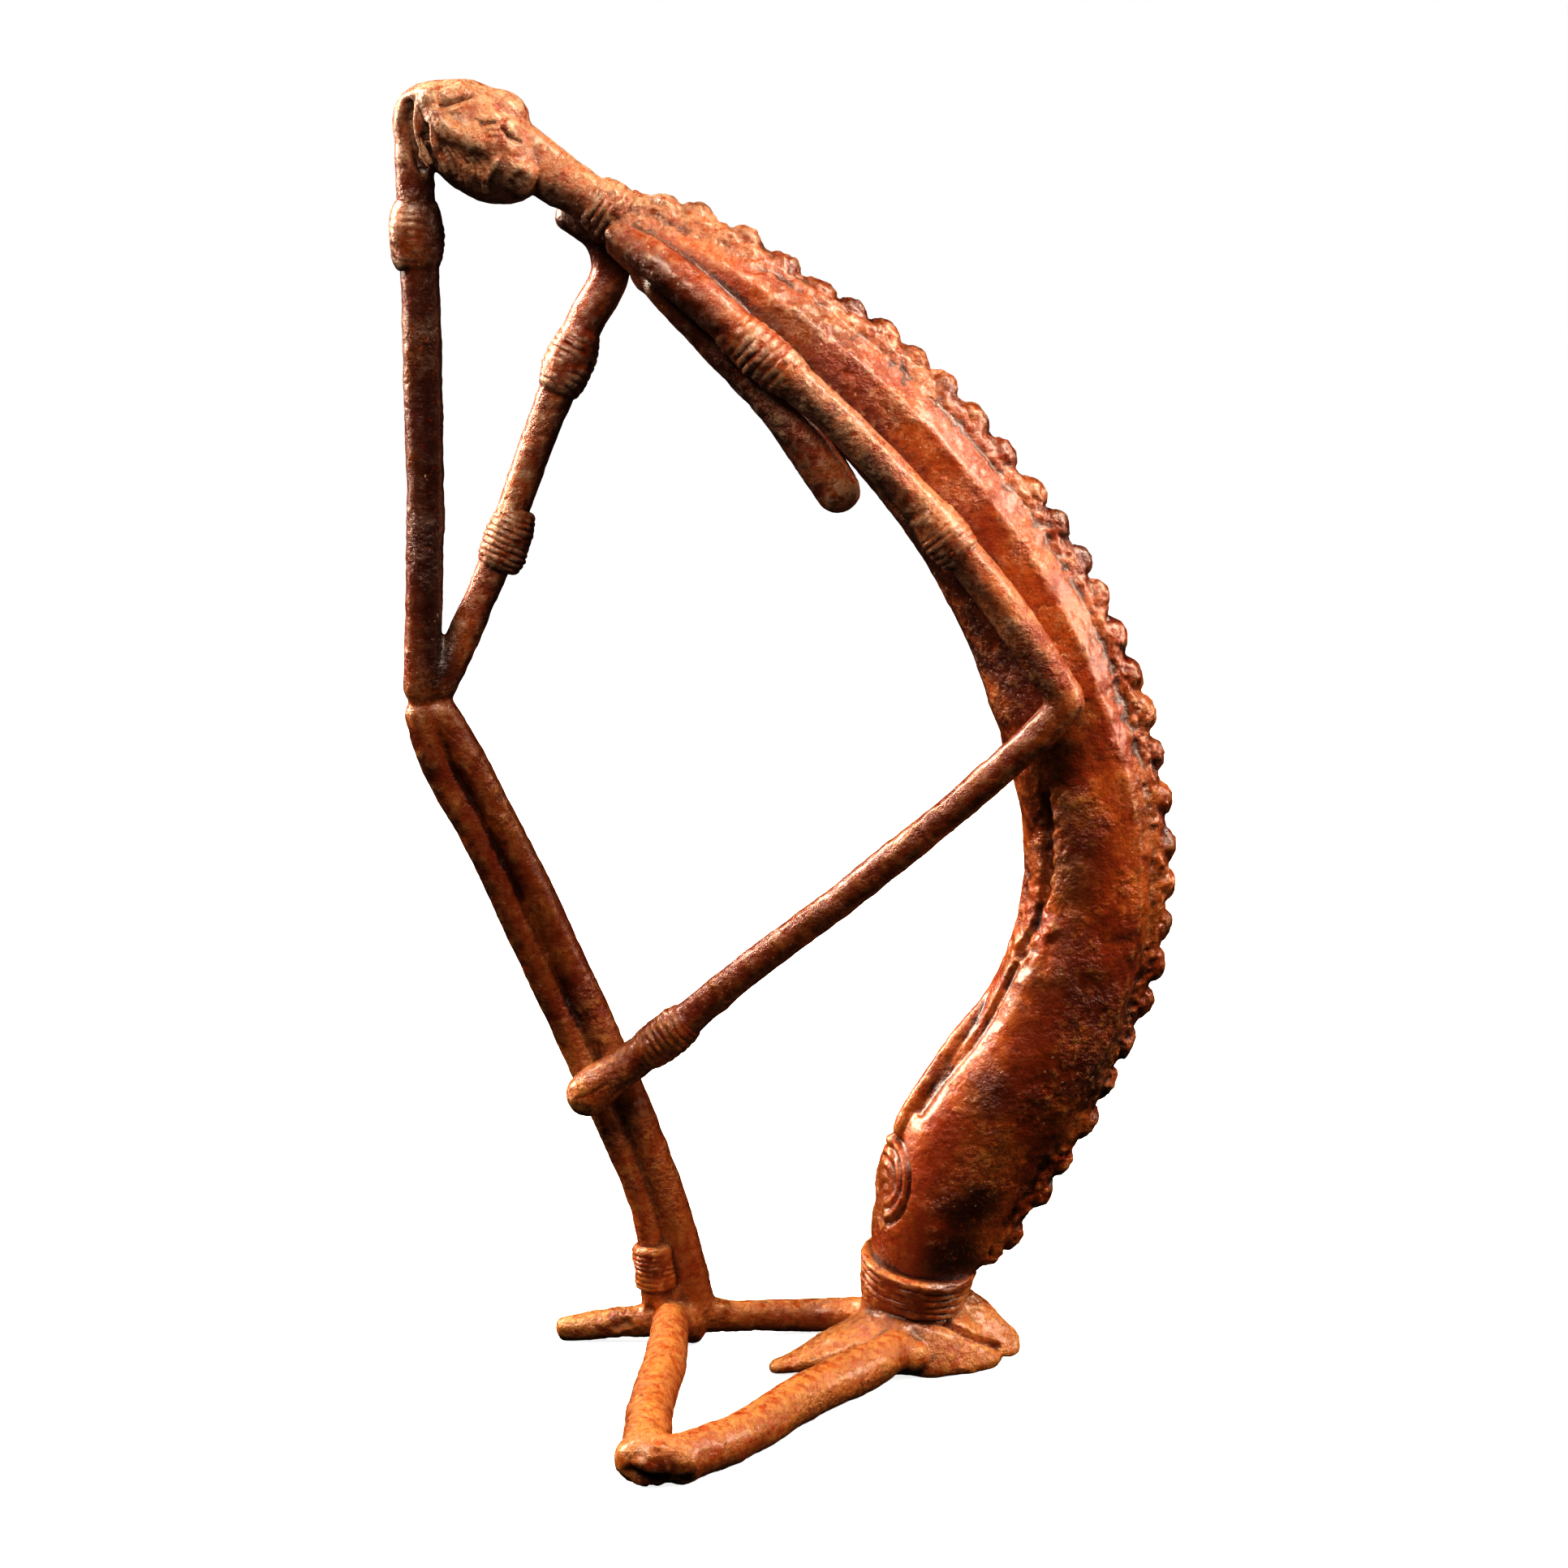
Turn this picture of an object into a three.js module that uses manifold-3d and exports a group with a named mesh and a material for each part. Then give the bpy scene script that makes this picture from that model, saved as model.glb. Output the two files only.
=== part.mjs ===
// Cast figure of a nommo, a long fish-bodied water being. It stands on its splayed tail fin and
// its bent legs, and bows its head into one hand. All of it is one lost-wax casting, so it is one
// solid. Millimetres, +Z up. The body curves in a plane parallel to XZ and the figure faces -X.
import * as THREE from 'three';
import { mergeVertices } from 'three/addons/utils/BufferGeometryUtils.js';
import Module from 'manifold-3d';

const wasm = await Module();
wasm.setup();

// Driving dimensions
const PLACE = { x: -1.2, y: 33.4 }; // puts the origin under the middle of the whole figure
const THREAD = 1.6; // pitch of the wax threads wound into rings, bracelets and the collar
const THREAD_DEPTH = 0.45; // groove between two threads
const ROD_SIDES = 8; // faces round a limb
const FLOOR_CUT = 20; // depth of the block that cuts the contacts flat at z = 0

// The body's middle line from the shoulders to the tail: x, z, width back to belly, thickness
const BODY_LINE = [
  [-36.5, 269.4, 14, 15],
  [-13.4, 254.6, 23.6, 22],
  [10, 237.6, 24.6, 24],
  [31.8, 216.8, 26.4, 24],
  [49.2, 193.6, 29.2, 24],
  [65.6, 157, 31.4, 25],
  [72.8, 118.2, 30.6, 27],
  [61.2, 77.8, 33.8, 29],
  [43.4, 48.4, 34, 27],
  [34.6, 27, 28, 26],
  [32.6, 17, 21, 21],
];
const BODY_SIDES = 16;
const BODY_STEPS = 3; // rings between two stations
const FLANK_RIDGE = 0.1; // how far the shoulder line stands out of the oval section

// The crest along the back
const KNOBS = 31;
const KNOB = { peak: 4.2, root: 2.5, across: 3.9 }; // half sizes of a knob and of the pit beside it
const CREST_START = 0.03; // share of the back's length where the first knob sits
const CREST_END = 0.955;

// The splayed tail fin: where its skirt swells, how far it reaches there and how wide that spreads
const FIN = { x: 31.5, top: 16, waist: 12.6, lip: 2.4, sides: 26, rings: 3 };
const FIN_SWELLS = [
  { angle: 285, reach: 16.5, spread: 38 },
  { angle: 334, reach: 20, spread: 26 },
  { angle: 100, reach: 16.5, spread: 40 },
];
// Its two flukes, as tapering flaps: x, y, z, half width, half thickness
const LEFT_FLUKE = [[23, -4.6, 8.6, 9, 3.6], [10, -10, 5, 7.4, 2.6], [0, -14, 2.6, 4.8, 2]];
const RIGHT_FLUKE = [[39, 0, 12.6, 9.4, 4.6], [47, 1.2, 8.4, 8.8, 3.6], [53.6, 2, 3, 5.6, 2.2]];
const COLLAR = { low: 11, high: 24.5, radius: 13.8, rim: 14.7, threads: 5, sides: 16 };
const BAND_THREADS = 2; // bold threads on a bracelet, each for three of the fine ones

// The head leans to the upper left of the shoulders
const HEAD = { x: -69.1, z: 288.5, long: 16.6, deep: 11.6, wide: 11, tilt: 42 };

/** Wraps rings of points into one closed surface. The first and last ring are single points. */
function skin(rings) {
  const sides = rings[1].length;
  const positions = rings.flat().flatMap((p) => p.toArray());
  const last = rings.flat().length - 1;
  const at = (ring, side) => 1 + (ring - 1) * sides + (side % sides);
  const faces = [];
  for (let s = 0; s < sides; s += 1) {
    faces.push(0, at(1, s + 1), at(1, s));
    faces.push(last, at(rings.length - 2, s), at(rings.length - 2, s + 1));
    for (let r = 1; r < rings.length - 2; r += 1) {
      faces.push(at(r, s), at(r, s + 1), at(r + 1, s + 1));
      faces.push(at(r, s), at(r + 1, s + 1), at(r + 1, s));
    }
  }
  const geometry = new THREE.BufferGeometry();
  geometry.setAttribute('position', new THREE.Float32BufferAttribute(positions, 3));
  geometry.setIndex(faces);
  return geometry;
}

/** Points of one ring about a centre, spanned by two half axes. */
function ring(centre, normal, across, sides, section = (c, s) => [c, s]) {
  const points = [];
  for (let k = 0; k < sides; k += 1) {
    const angle = (2 * Math.PI * k) / sides;
    const [n, a] = section(Math.cos(angle), Math.sin(angle));
    points.push(centre.clone().addScaledVector(normal, n).addScaledVector(across, a));
  }
  return points;
}

/**
 * A round-ended bar along a smooth path. Each station is [x, y, z, half width, half thickness];
 * the thickness lies along `side` and equals the width where it is left out.
 */
function bar(stations, { side = [0, 1, 0], sides = ROD_SIDES, steps = 1, section, blunt = 1 } = {}) {
  const path = new THREE.CatmullRomCurve3(stations.map((s) => new THREE.Vector3(s[0], s[1], s[2])));
  const sizes = new THREE.CatmullRomCurve3(
    stations.map((s) => new THREE.Vector3(s[3], s[4] ?? s[3], 0)),
    false,
    'catmullrom',
  );
  const count = (stations.length - 1) * steps;
  const lean = new THREE.Vector3(...side);
  const makeRing = (t, swell, push) => {
    const tangent = path.getTangent(t);
    const size = sizes.getPoint(t);
    const normal = new THREE.Vector3().crossVectors(lean, tangent).normalize();
    const across = new THREE.Vector3().crossVectors(tangent, normal);
    const centre = path.getPoint(t).addScaledVector(tangent, push * size.x * blunt);
    normal.multiplyScalar(size.x * swell);
    across.multiplyScalar(size.y * swell);
    return swell > 0 ? ring(centre, normal, across, sides, section) : [centre];
  };
  const rings = [makeRing(0, 0, -1), makeRing(0, Math.SQRT1_2, -Math.SQRT1_2)];
  for (let k = 0; k <= count; k += 1) {
    rings.push(makeRing(k / count, 1, 0));
  }
  rings.push(makeRing(1, Math.SQRT1_2, Math.SQRT1_2), makeRing(1, 0, 1));
  return skin(rings);
}

/** A turned piece: a profile of [radius, distance] pairs about the line from one end to the other. */
function turned(from, to, profile, sides) {
  const start = new THREE.Vector3(...from);
  const axis = new THREE.Vector3(...to).sub(start).normalize();
  const lean = Math.abs(axis.y) > 0.9 ? new THREE.Vector3(0, 0, 1) : new THREE.Vector3(0, 1, 0);
  const normal = new THREE.Vector3().crossVectors(lean, axis).normalize();
  const across = new THREE.Vector3().crossVectors(axis, normal);
  const rings = profile.map(([radius, distance]) => {
    const centre = start.clone().addScaledVector(axis, distance);
    const n = normal.clone().multiplyScalar(radius);
    const a = across.clone().multiplyScalar(radius);
    return radius > 0 ? ring(centre, n, a, sides) : [centre];
  });
  return skin(rings);
}

/** Profile of a band of wound threads between two rims, closed on its axis at both ends. */
function woundProfile(length, radius, rim, threads) {
  const pitch = length / (threads + 1);
  const profile = [[0, 0], [rim - 0.5, 0], [rim, pitch / 2]];
  for (let k = 0; k < threads; k += 1) {
    profile.push([radius - THREAD_DEPTH, pitch * (k + 0.65)]);
    profile.push([radius, pitch * (k + 1)]);
  }
  profile.push([radius - THREAD_DEPTH, pitch * (threads + 0.35)]);
  profile.push([rim, length - pitch / 2], [rim - 0.5, length], [0, length]);
  return profile;
}

/** A bracelet or anklet wound round a limb. */
function bracelet(from, to, radius) {
  const length = new THREE.Vector3(...from).distanceTo(new THREE.Vector3(...to));
  return turned(from, to, woundProfile(length, radius, radius - 0.2, BAND_THREADS), ROD_SIDES);
}

/** A lump: a sphere stretched to three half sizes and turned in the body's plane. */
function lump([x, y, z], [along, across, high], tilt = 0, detail = [7, 5]) {
  const geometry = new THREE.SphereGeometry(1, ...detail);
  geometry.scale(along, across, high);
  geometry.rotateY(THREE.MathUtils.degToRad(tilt));
  geometry.translate(x, y, z);
  return geometry;
}

/** Oval flank with a soft shoulder line near the back: c is -1 at the back and 1 at the belly. */
function fishSection(c, s) {
  const fromRidge = (c + 0.45) / 0.28;
  return [c, s * (1 + 0.12 * Math.min(0, c)) + s * FLANK_RIDGE * Math.exp(-fromRidge * fromRidge)];
}

const bodyStations = BODY_LINE.map(([x, z, width, thickness]) => [x, 0, z, width / 2, thickness / 2]);

function body() {
  return bar(bodyStations, {
    sides: BODY_SIDES,
    steps: BODY_STEPS,
    section: fishSection,
    blunt: 0.35,
  });
}

/** A row of knobs, evenly spaced along the edge of the back, with pits between them. */
function crest() {
  const path = new THREE.CatmullRomCurve3(bodyStations.map((s) => new THREE.Vector3(s[0], 0, s[2])));
  const samples = 200;
  const edge = path.getSpacedPoints(samples).map((point, k) => {
    const t = path.getUtoTmapping(k / samples);
    const tangent = path.getTangent(t);
    const station = t * (bodyStations.length - 1);
    const low = Math.min(Math.floor(station), bodyStations.length - 2);
    const half = THREE.MathUtils.lerp(bodyStations[low][3], bodyStations[low + 1][3], station - low);
    return point.add(new THREE.Vector3(-tangent.z, 0, tangent.x).multiplyScalar(half));
  });
  const back = new THREE.CatmullRomCurve3(edge);
  const stations = [];
  for (let k = 0; k <= KNOBS * 3; k += 1) {
    const point = back.getPointAt(THREE.MathUtils.lerp(CREST_START, CREST_END, k / (KNOBS * 3)));
    const size = k % 3 === 0 ? KNOB.root : KNOB.peak;
    stations.push([...point.toArray(), size, k % 3 === 0 ? size : KNOB.across]);
  }
  return bar(stations, { sides: 6 });
}

/** Strip along the belly, and the oval boss below it. */
function belly() {
  const strip = bar(
    [
      [57, 0, 146, 3, 2.4],
      [59.6, 0, 118, 3, 2.6],
      [51, 0, 91, 3, 2.6],
      [39.6, 0, 75, 3, 2.6],
      [29.8, 0, 59, 2.4, 2.2],
    ],
    { sides: 6 },
  );
  const boss = [
    bar([[28, 0, 54, 2.4, 4.5], [25.6, 0, 46, 2.8, 6.2], [24.8, 0, 38.5, 2.4, 5]]),
    bar([[26.6, 0, 51, 2.4, 2.2], [24.4, 0, 46, 2.4, 3.6], [23.8, 0, 41, 2.2, 2.8]]),
  ];
  return [strip, ...boss];
}

/** The fin spreads from the collar as a concave skirt with a flat underside and two flukes. */
function fin() {
  const rings = [[new THREE.Vector3(FIN.x, 0, FIN.top)]];
  const outline = (degrees) => FIN_SWELLS.reduce((reach, swell) => {
    const away = ((degrees - swell.angle + 540) % 360) - 180;
    return reach + (swell.reach - FIN.waist) * Math.exp(-((away / swell.spread) ** 2));
  }, FIN.waist * 0.94);
  const addRing = (share, height) => {
    const points = [];
    for (let k = 0; k < FIN.sides; k += 1) {
      const degrees = (360 * k) / FIN.sides;
      const angle = THREE.MathUtils.degToRad(degrees);
      const reach = THREE.MathUtils.lerp(FIN.waist, outline(degrees), share);
      points.push(new THREE.Vector3(FIN.x + reach * Math.cos(angle), reach * Math.sin(angle), height));
    }
    rings.push(points);
  };
  for (let k = FIN.rings; k >= 0; k -= 1) {
    const share = 1 - k / FIN.rings;
    addRing(share, FIN.lip + (FIN.top - FIN.lip) * (k / FIN.rings) ** 1.7);
  }
  addRing(0.98, 0);
  rings.push([new THREE.Vector3(FIN.x, 0, 0)]);
  const flukes = [LEFT_FLUKE, RIGHT_FLUKE].map((stations) => bar(stations, { side: [0, 0, 1] }));
  return [skin(rings.reverse()), ...flukes];
}

function collar() {
  const length = COLLAR.high - COLLAR.low;
  const profile = woundProfile(length, COLLAR.radius, COLLAR.rim, COLLAR.threads);
  return turned([30.6, 0, COLLAR.low], [33.4, 0, COLLAR.high], profile, COLLAR.sides);
}

function neck() {
  const stem = bar(
    [[-60, 0, 285, 7], [-52.7, 0, 281.2, 6.2], [-43, 0, 276.9, 5.6], [-35, 0, 271.2, 5.6], [-26, 0, 263.4, 8]],
  );
  const threads = 4;
  const profile = woundProfile((threads + 1) * THREAD, 6.4, 6.3, threads);
  return [stem, turned([-42.6, 0, 277], [-35.4, 0, 272], profile, 10)];
}

/** Head with its back bulge, jaw, ear, cheek ridge and hooded eyes, each bold enough to read. */
function head() {
  const { x, z, long, deep, wide, tilt } = HEAD;
  const parts = [
    lump([x, 0, z], [long, wide, deep], tilt, [12, 9]),
    lump([-62.5, 0, 296], [5, 7, 4.6], 20),
    lump([-60.8, 0, 280.4], [6.2, 7.4, 6.2], tilt),
    lump([-78.6, 0, 297.6], [5.6, 7.6, 4.4], 10),
  ];
  [-1, 1].forEach((side) => {
    parts.push(lump([-59.9, 9.3 * side, 290.6], [2.2, 1.6, 2.2]));
    parts.push(bar(
      [[-80.6, 5.6 * side, 295, 1.1], [-77.5, 9 * side, 289.6, 1.2], [-71.8, 10.9 * side, 286, 1.1]],
      { sides: 5 },
    ));
    parts.push(bar(
      [[-77.6, 7.6 * side, 297.4, 1], [-73.6, 8.4 * side, 299.2, 1.3], [-70.2, 8.2 * side, 299, 0.9]],
      { sides: 6 },
    ));
  });
  return parts;
}

/** The arm whose elbow rests on the raised knee and whose hand holds the head. */
function farArm() {
  const upper = bar([
    [-49.4, 9.6, 271.6, 3.8],
    [-42, 11, 267.4, 4.8],
    [-39.7, 12, 261.6, 4.5],
    [-46.5, 11, 247.3, 4.6],
    [-58.1, 9.5, 219.2, 3.9],
    [-70.3, 7, 186.2, 3.9],
    [-80.9, 4.2, 163.4, 4.1],
  ]);
  const fore = bar([
    [-84.2, 4, 162.8, 4.7],
    [-84.3, 4, 170, 4.6],
    [-83.4, 3.4, 205, 4.4],
    [-83.3, 3, 238.3, 4.5],
    [-83.5, 2, 266, 4.5],
    [-83.7, 0.6, 288, 4.5],
    [-83, 0, 295.4, 4.9],
    [-79, 0, 298.6, 3.6, 5],
    [-74, 0, 299.6, 2.6, 4.6],
  ]);
  const finger = (side, spread) => bar([
    [-82.4 + 3 * spread, (3.4 + spread) * side, 296, 1.5],
    [-81.4 + 3.4 * spread, (5.6 + 2.2 * spread) * side, 289.6, 1.4],
    [-79 + 3.2 * spread, (6.6 + 2 * spread) * side, 283.4, 1.3],
  ], { sides: 5 });
  return [
    upper,
    fore,
    finger(-1, 0),
    finger(-1, 1),
    finger(1, 0),
    bracelet([-47.6, 10.8, 244.2], [-52.2, 10, 233], 6.2),
    bracelet([-63.8, 8.4, 202.2], [-67.4, 7.4, 191.6], 5.6),
    bracelet([-83.4, 2.2, 274], [-83.5, 2.7, 259.8], 6.5),
  ];
}

/** The arm that crosses the flank to its elbow and comes forward to hold the shin. */
function nearArm() {
  const upper = bar([
    [-35.6, -8.6, 266.8, 4.2],
    [-19.3, -12.6, 254.1, 4.8],
    [-3.8, -15.4, 240.7, 4.6],
    [15.3, -16.4, 223.6, 4.4],
    [35.8, -17.4, 201.9, 4.4],
    [52.1, -18.4, 181.8, 4.6],
    [63.6, -18.8, 164.4, 4.4],
  ]);
  const fore = bar([
    [64.4, -18.8, 162.6, 4.3],
    [59.9, -18.8, 157.4, 4.1],
    [43.6, -17, 141.9, 3.8],
    [15.8, -13, 117.8, 3.8],
    [-12.6, -7, 94.3, 3.9],
    [-28.1, -4, 80.5, 4.4],
    [-37.9, -2.2, 73.1, 4.8],
    [-46.2, -1, 66, 5.2],
  ]);
  return [
    upper,
    fore,
    bracelet([-13.3, -13.9, 248.4], [3.8, -15.8, 234.2], 6),
    bracelet([32.2, -17.2, 205.8], [40, -17.8, 196.4], 5.8),
    bracelet([-23.4, -4.8, 84.6], [-32.8, -3.2, 77], 5.7),
  ];
}

/** The raised leg, folded so that thigh and shin stand side by side, with its foot in front. */
function raisedLeg() {
  const shin = bar([
    [-84.6, 4, 156.6, 4.4],
    [-82.6, 4, 148.6, 4.2],
    [-72.8, 4.5, 127.5, 4.1],
    [-57.1, 6, 91.5, 4],
    [-41.3, 7, 54.8, 4],
    [-32.7, 8, 29.9, 3.7],
    [-31.1, 8, 5.4, 3.9],
  ]);
  const thigh = bar([
    [-80.8, 4, 157.4, 4],
    [-76.1, 4, 149, 4],
    [-65.3, 4.5, 127.5, 4],
    [-49.3, 6, 91.5, 4.1],
    [-34.1, 7, 54.8, 4.1],
    [-25.7, 8, 29.9, 4],
    [-20.8, 10.4, 7.4, 4.4],
  ]);
  const foot = bar([[-31.5, 8, 5.6, 4], [-44.1, 8.5, 4.4, 3.4], [-54.8, 9, 3.7, 3.1]], { blunt: 0.5 });
  const hipRod = bar([[-21, 10.6, 6, 4.4], [-13, 12, 5.4, 3.7], [15.9, 13.5, 5, 3.7], [25, 9, 7, 3.6]]);
  const junction = lump([-26.4, 5.6, 5.6], [6, 5.4, 5]);
  return [shin, thigh, foot, hipRod, junction, bracelet([-31.9, 8, 25], [-30.9, 8, 14.6], 5.2)];
}

/** The leg that lies on the ground, out to the knee and back to its foot. */
function groundLeg() {
  const thigh = bar(
    [
      [31, -8, 8, 4.6],
      [23.7, -21.3, 6.5, 5.2],
      [6.3, -40.9, 5.2, 5.4],
      [-11.8, -66.6, 5, 5.3],
      [-23, -77, 5.4, 5.4],
    ],
    { side: [0, 0, 1] },
  );
  const shin = bar(
    [
      [-30.2, -76, 6, 5.4],
      [-30.1, -54.2, 6.8, 5.3],
      [-28, -25.8, 7.4, 5],
      [-27.4, 0, 8.6, 4.3],
    ],
    { side: [0, 0, 1] },
  );
  return [thigh, shin, lump([-29.6, -77.6, 5.6], [7.8, 6.4, 6.2])];
}

/** Two long breasts that hang from the chest, one each side. */
function breasts() {
  return [-1, 1].map((side) => bar([
    [-28, 4 * side, 256.4, 4.2],
    [-15.8, 5.8 * side, 244.4, 4.8],
    [-0.4, 7.6 * side, 228.2, 4.9],
    [8.4, 8.4 * side, 216.4, 5.1],
    [12.4, 8.8 * side, 210.6, 4.9],
  ]));
}

/** A closed geometry as a solid, on its position alone and without empty faces. */
function solid(geometry) {
  geometry.deleteAttribute('normal');
  geometry.deleteAttribute('uv');
  const merged = mergeVertices(geometry, 1e-4);
  return new wasm.Manifold(new wasm.Mesh({
    numProp: 3,
    vertProperties: merged.attributes.position.array,
    triVerts: new Uint32Array(merged.index.array),
  }));
}

/** All the parts joined as cast metal, cut flat where the figure stands. */
function castTogether(geometries) {
  const joined = geometries.map(solid).reduce((whole, piece) => whole.add(piece));
  const floor = new THREE.BoxGeometry(400, 400, FLOOR_CUT);
  floor.translate(0, 0, -FLOOR_CUT / 2);
  const { vertProperties, triVerts } = joined.subtract(solid(floor)).getMesh();
  const geometry = new THREE.BufferGeometry();
  geometry.setAttribute('position', new THREE.BufferAttribute(vertProperties, 3));
  geometry.setIndex(new THREE.BufferAttribute(triVerts, 1));
  return geometry;
}

const patinatedBronze = new THREE.MeshStandardMaterial({
  color: 0x8c4420,
  roughness: 0.55,
  metalness: 0.4,
});

const figure = new THREE.Mesh(
  castTogether([
    body(),
    crest(),
    ...belly(),
    ...fin(),
    collar(),
    ...neck(),
    ...head(),
    ...farArm(),
    ...nearArm(),
    ...raisedLeg(),
    ...groundLeg(),
    ...breasts(),
  ]),
  patinatedBronze,
);
figure.name = 'figure';
figure.position.set(PLACE.x, PLACE.y, 0);

const nommo = new THREE.Group();
nommo.add(figure);
export default nommo;
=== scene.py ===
"""Cast nommo figure: one lost-wax casting with a rust-brown patina, on a pale floor in soft light.

Shapes are worked out in millimetres in the body's own plane, as the solid is, and go into the
scene in metres. The figure faces -X and its near side is -Y.
"""

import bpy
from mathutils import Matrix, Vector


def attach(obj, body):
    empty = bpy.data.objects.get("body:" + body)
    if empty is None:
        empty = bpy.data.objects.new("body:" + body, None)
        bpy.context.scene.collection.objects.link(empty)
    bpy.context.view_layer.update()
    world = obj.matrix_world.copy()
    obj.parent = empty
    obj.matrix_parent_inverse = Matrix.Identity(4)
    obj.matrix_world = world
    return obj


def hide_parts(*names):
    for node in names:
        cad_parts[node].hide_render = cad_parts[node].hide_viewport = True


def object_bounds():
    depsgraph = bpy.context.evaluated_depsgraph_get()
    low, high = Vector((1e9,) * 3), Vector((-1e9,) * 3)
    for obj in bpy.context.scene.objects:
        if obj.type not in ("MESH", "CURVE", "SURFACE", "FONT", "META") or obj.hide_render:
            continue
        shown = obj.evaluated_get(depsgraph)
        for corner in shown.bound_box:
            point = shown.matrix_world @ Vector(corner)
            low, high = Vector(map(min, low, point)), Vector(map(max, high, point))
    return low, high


bl_info = {
    "name": "Cast Nommo Figure",
    "version": (1, 0, 0),
    "blender": (4, 5, 0),
    "location": "View3D > Sidebar > Nommo",
    "description": "A lost-wax nommo figure with its patina, on a pale floor in soft light",
    "category": "Add Mesh",
}

import bpy
import numpy as np
from mathutils import Vector

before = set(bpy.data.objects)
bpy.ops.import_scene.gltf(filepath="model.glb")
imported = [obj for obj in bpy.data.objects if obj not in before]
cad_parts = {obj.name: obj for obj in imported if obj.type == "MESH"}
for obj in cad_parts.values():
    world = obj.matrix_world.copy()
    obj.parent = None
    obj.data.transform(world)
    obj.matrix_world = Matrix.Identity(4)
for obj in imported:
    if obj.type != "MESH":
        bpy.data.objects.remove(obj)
CAD_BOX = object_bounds()

MM = 0.001
PLACE = np.array((-1.2, 33.4, 0.0))  # from the body's plane to the frame of the solid
PIECE = "nommo_cast"
NODE = "figure"
BODY = "root"

# How finely the surfaces are worked out
STEP = 0.7  # millimetres between two rings or two sides
FINGER_STEP = 0.3
CAP_RINGS = 8
CRISP_ROUNDS = 3  # smoothing rounds after the crisp forms are added
SHARP_EDGE = 58  # degrees
NEAR_ROUNDS = 4  # blurring rounds that find small hollows
FAR_ROUNDS = 24  # blurring rounds that find deep ones

# The body's middle line from the shoulders to the tail: x, z, width back to belly, thickness
BODY_LINE = (
    (-36.5, 269.4, 14, 15),
    (-13.4, 254.6, 23.6, 22),
    (10, 237.6, 24.6, 24),
    (31.8, 216.8, 26.4, 24),
    (49.2, 193.6, 29.2, 24),
    (65.6, 157, 31.4, 25),
    (72.8, 118.2, 30.6, 27),
    (61.2, 77.8, 33.8, 29),
    (43.4, 48.4, 34, 27),
    (34.6, 27, 28, 26),
    (32.6, 17, 21, 21),
)
# The knobs of the back: number of the knob, its place along the back, how far it stands out
KNOB_ROW = (
    (0, 0.021, 3.6), (1, 0.045, 4.5), (2, 0.082, 3.9), (3, 0.115, 2.9), (4, 0.148, 2.9),
    (6, 0.2, 4.7), (8, 0.256, 4.7), (11, 0.352, 3.9), (14, 0.438, 4.1), (17, 0.526, 4.7),
    (20, 0.618, 4.3), (23, 0.693, 4.9), (24, 0.722, 4.5), (26, 0.786, 3.3), (27, 0.813, 4.4),
    (29, 0.885, 5.2), (30, 0.93, 4.4),
)
KNOB_SIZE = (4.8, 4.1, 4.2)
CREST_END = 0.955  # share of the back where the ridge under the knobs ends
RIDGE_STATIONS = 40
RIDGE_WIDTH = 5.4
RIDGE_LEAST = 2.6

BAND_SWELL = 2.4  # how far a wound band stands round its core

# Where the strokes seen from the side apply, in the body's plane
FACE_CORNER = (-52, 272)  # left of this x and above this z
BELLY_REACH = (24, 28, 152)  # right of this x, between these two z

# Where the skin is roughest
KNEE_ON_FLOOR = (-28, -80, 4)
FOOT_ON_FLOOR = (-36, 8.5, 4)

# Boss low on the belly: its ends and half sizes, then the oval of its rim, seen from the side
BOSS_TOP = (29, 0, 55.4)
BOSS_FOOT = (24.8, 0, 35.6)
BOSS_HALF = (10, 7, 3.7)  # along, across, height
BOSS_TURN = 0.3  # radians from straight out to the near side
RIM_MIDDLE = (24.2, 0, 45.8)
RIM_HALF = (8.4, 4.4)
RIM_LEAN = 7  # degrees

# Tail fin: middle, height at the waist and at the lip; swells by angle, reach and spread
FIN = {"x": 31.5, "top": 16, "waist": 12.6, "lip": 2.4}
FIN_SWELLS = ((288, 18, 38), (344, 22.2, 33), (100, 16.5, 40), (228, 18.6, 24), (190, 15.4, 22))
FRONT_LOBE = (300, 58)  # angle and spread in degrees
LEFT_FLUKE = (
    (25, -6.4, 8.8, 9.6, 5.6), (14, -9.8, 6, 7.4, 4.2), (5, -12, 3.3, 5.2, 2.8),
    (-0.6, -12.8, 2, 3.4, 1.8),
)
RIGHT_FLUKE = (
    (34, -2.4, 14.4, 8.6, 2.6), (41, -3, 11.6, 8, 2.2), (47, -3.4, 8.6, 7, 1.8),
    (53.6, -2.8, 4.6, 4.4, 1.2),
)
RIGHT_FLUKE_SIDE = (0, -0.64, 0.77)  # turns the right fluke's face up and to the near side

# Stage, in metres and degrees
FLOOR_RADIUS = 8.0
FLOOR_RINGS = 24
FLOOR_SIDES = 96
CAMERA_PLACE = (-0.0012, -0.6560, 0.2623)
CAMERA_TILT = 80
CAMERA_LENS = 68.35  # millimetres, on a sensor 36 mm wide
CAMERA_SENSOR = 36
LIGHT_AIM = (0.0, 0.03, 0.15)
WARM_WHITE = (1, 0.93, 0.8)
KEY_LIGHT = ("high_right", (0.6, -0.12, 0.85), (0.25, 0.5))
# Lights round the sides: name, place, size, share of the side power
SIDE_LIGHTS = (
    ("over_front", (-0.3, -0.55, 0.8), (0.3, 0.3), 0.75),
    ("back_left", (-0.6, 0.35, 0.75), (0.3, 0.3), 1.4),
    ("left", (-0.87, 0.35, 0.42), (0.25, 0.25), 1.1),
    ("right", (0.95, 0, 0.4), (0.3, 0.3), 0.6),
)
VIEW_GAMMA = 0.72


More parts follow.
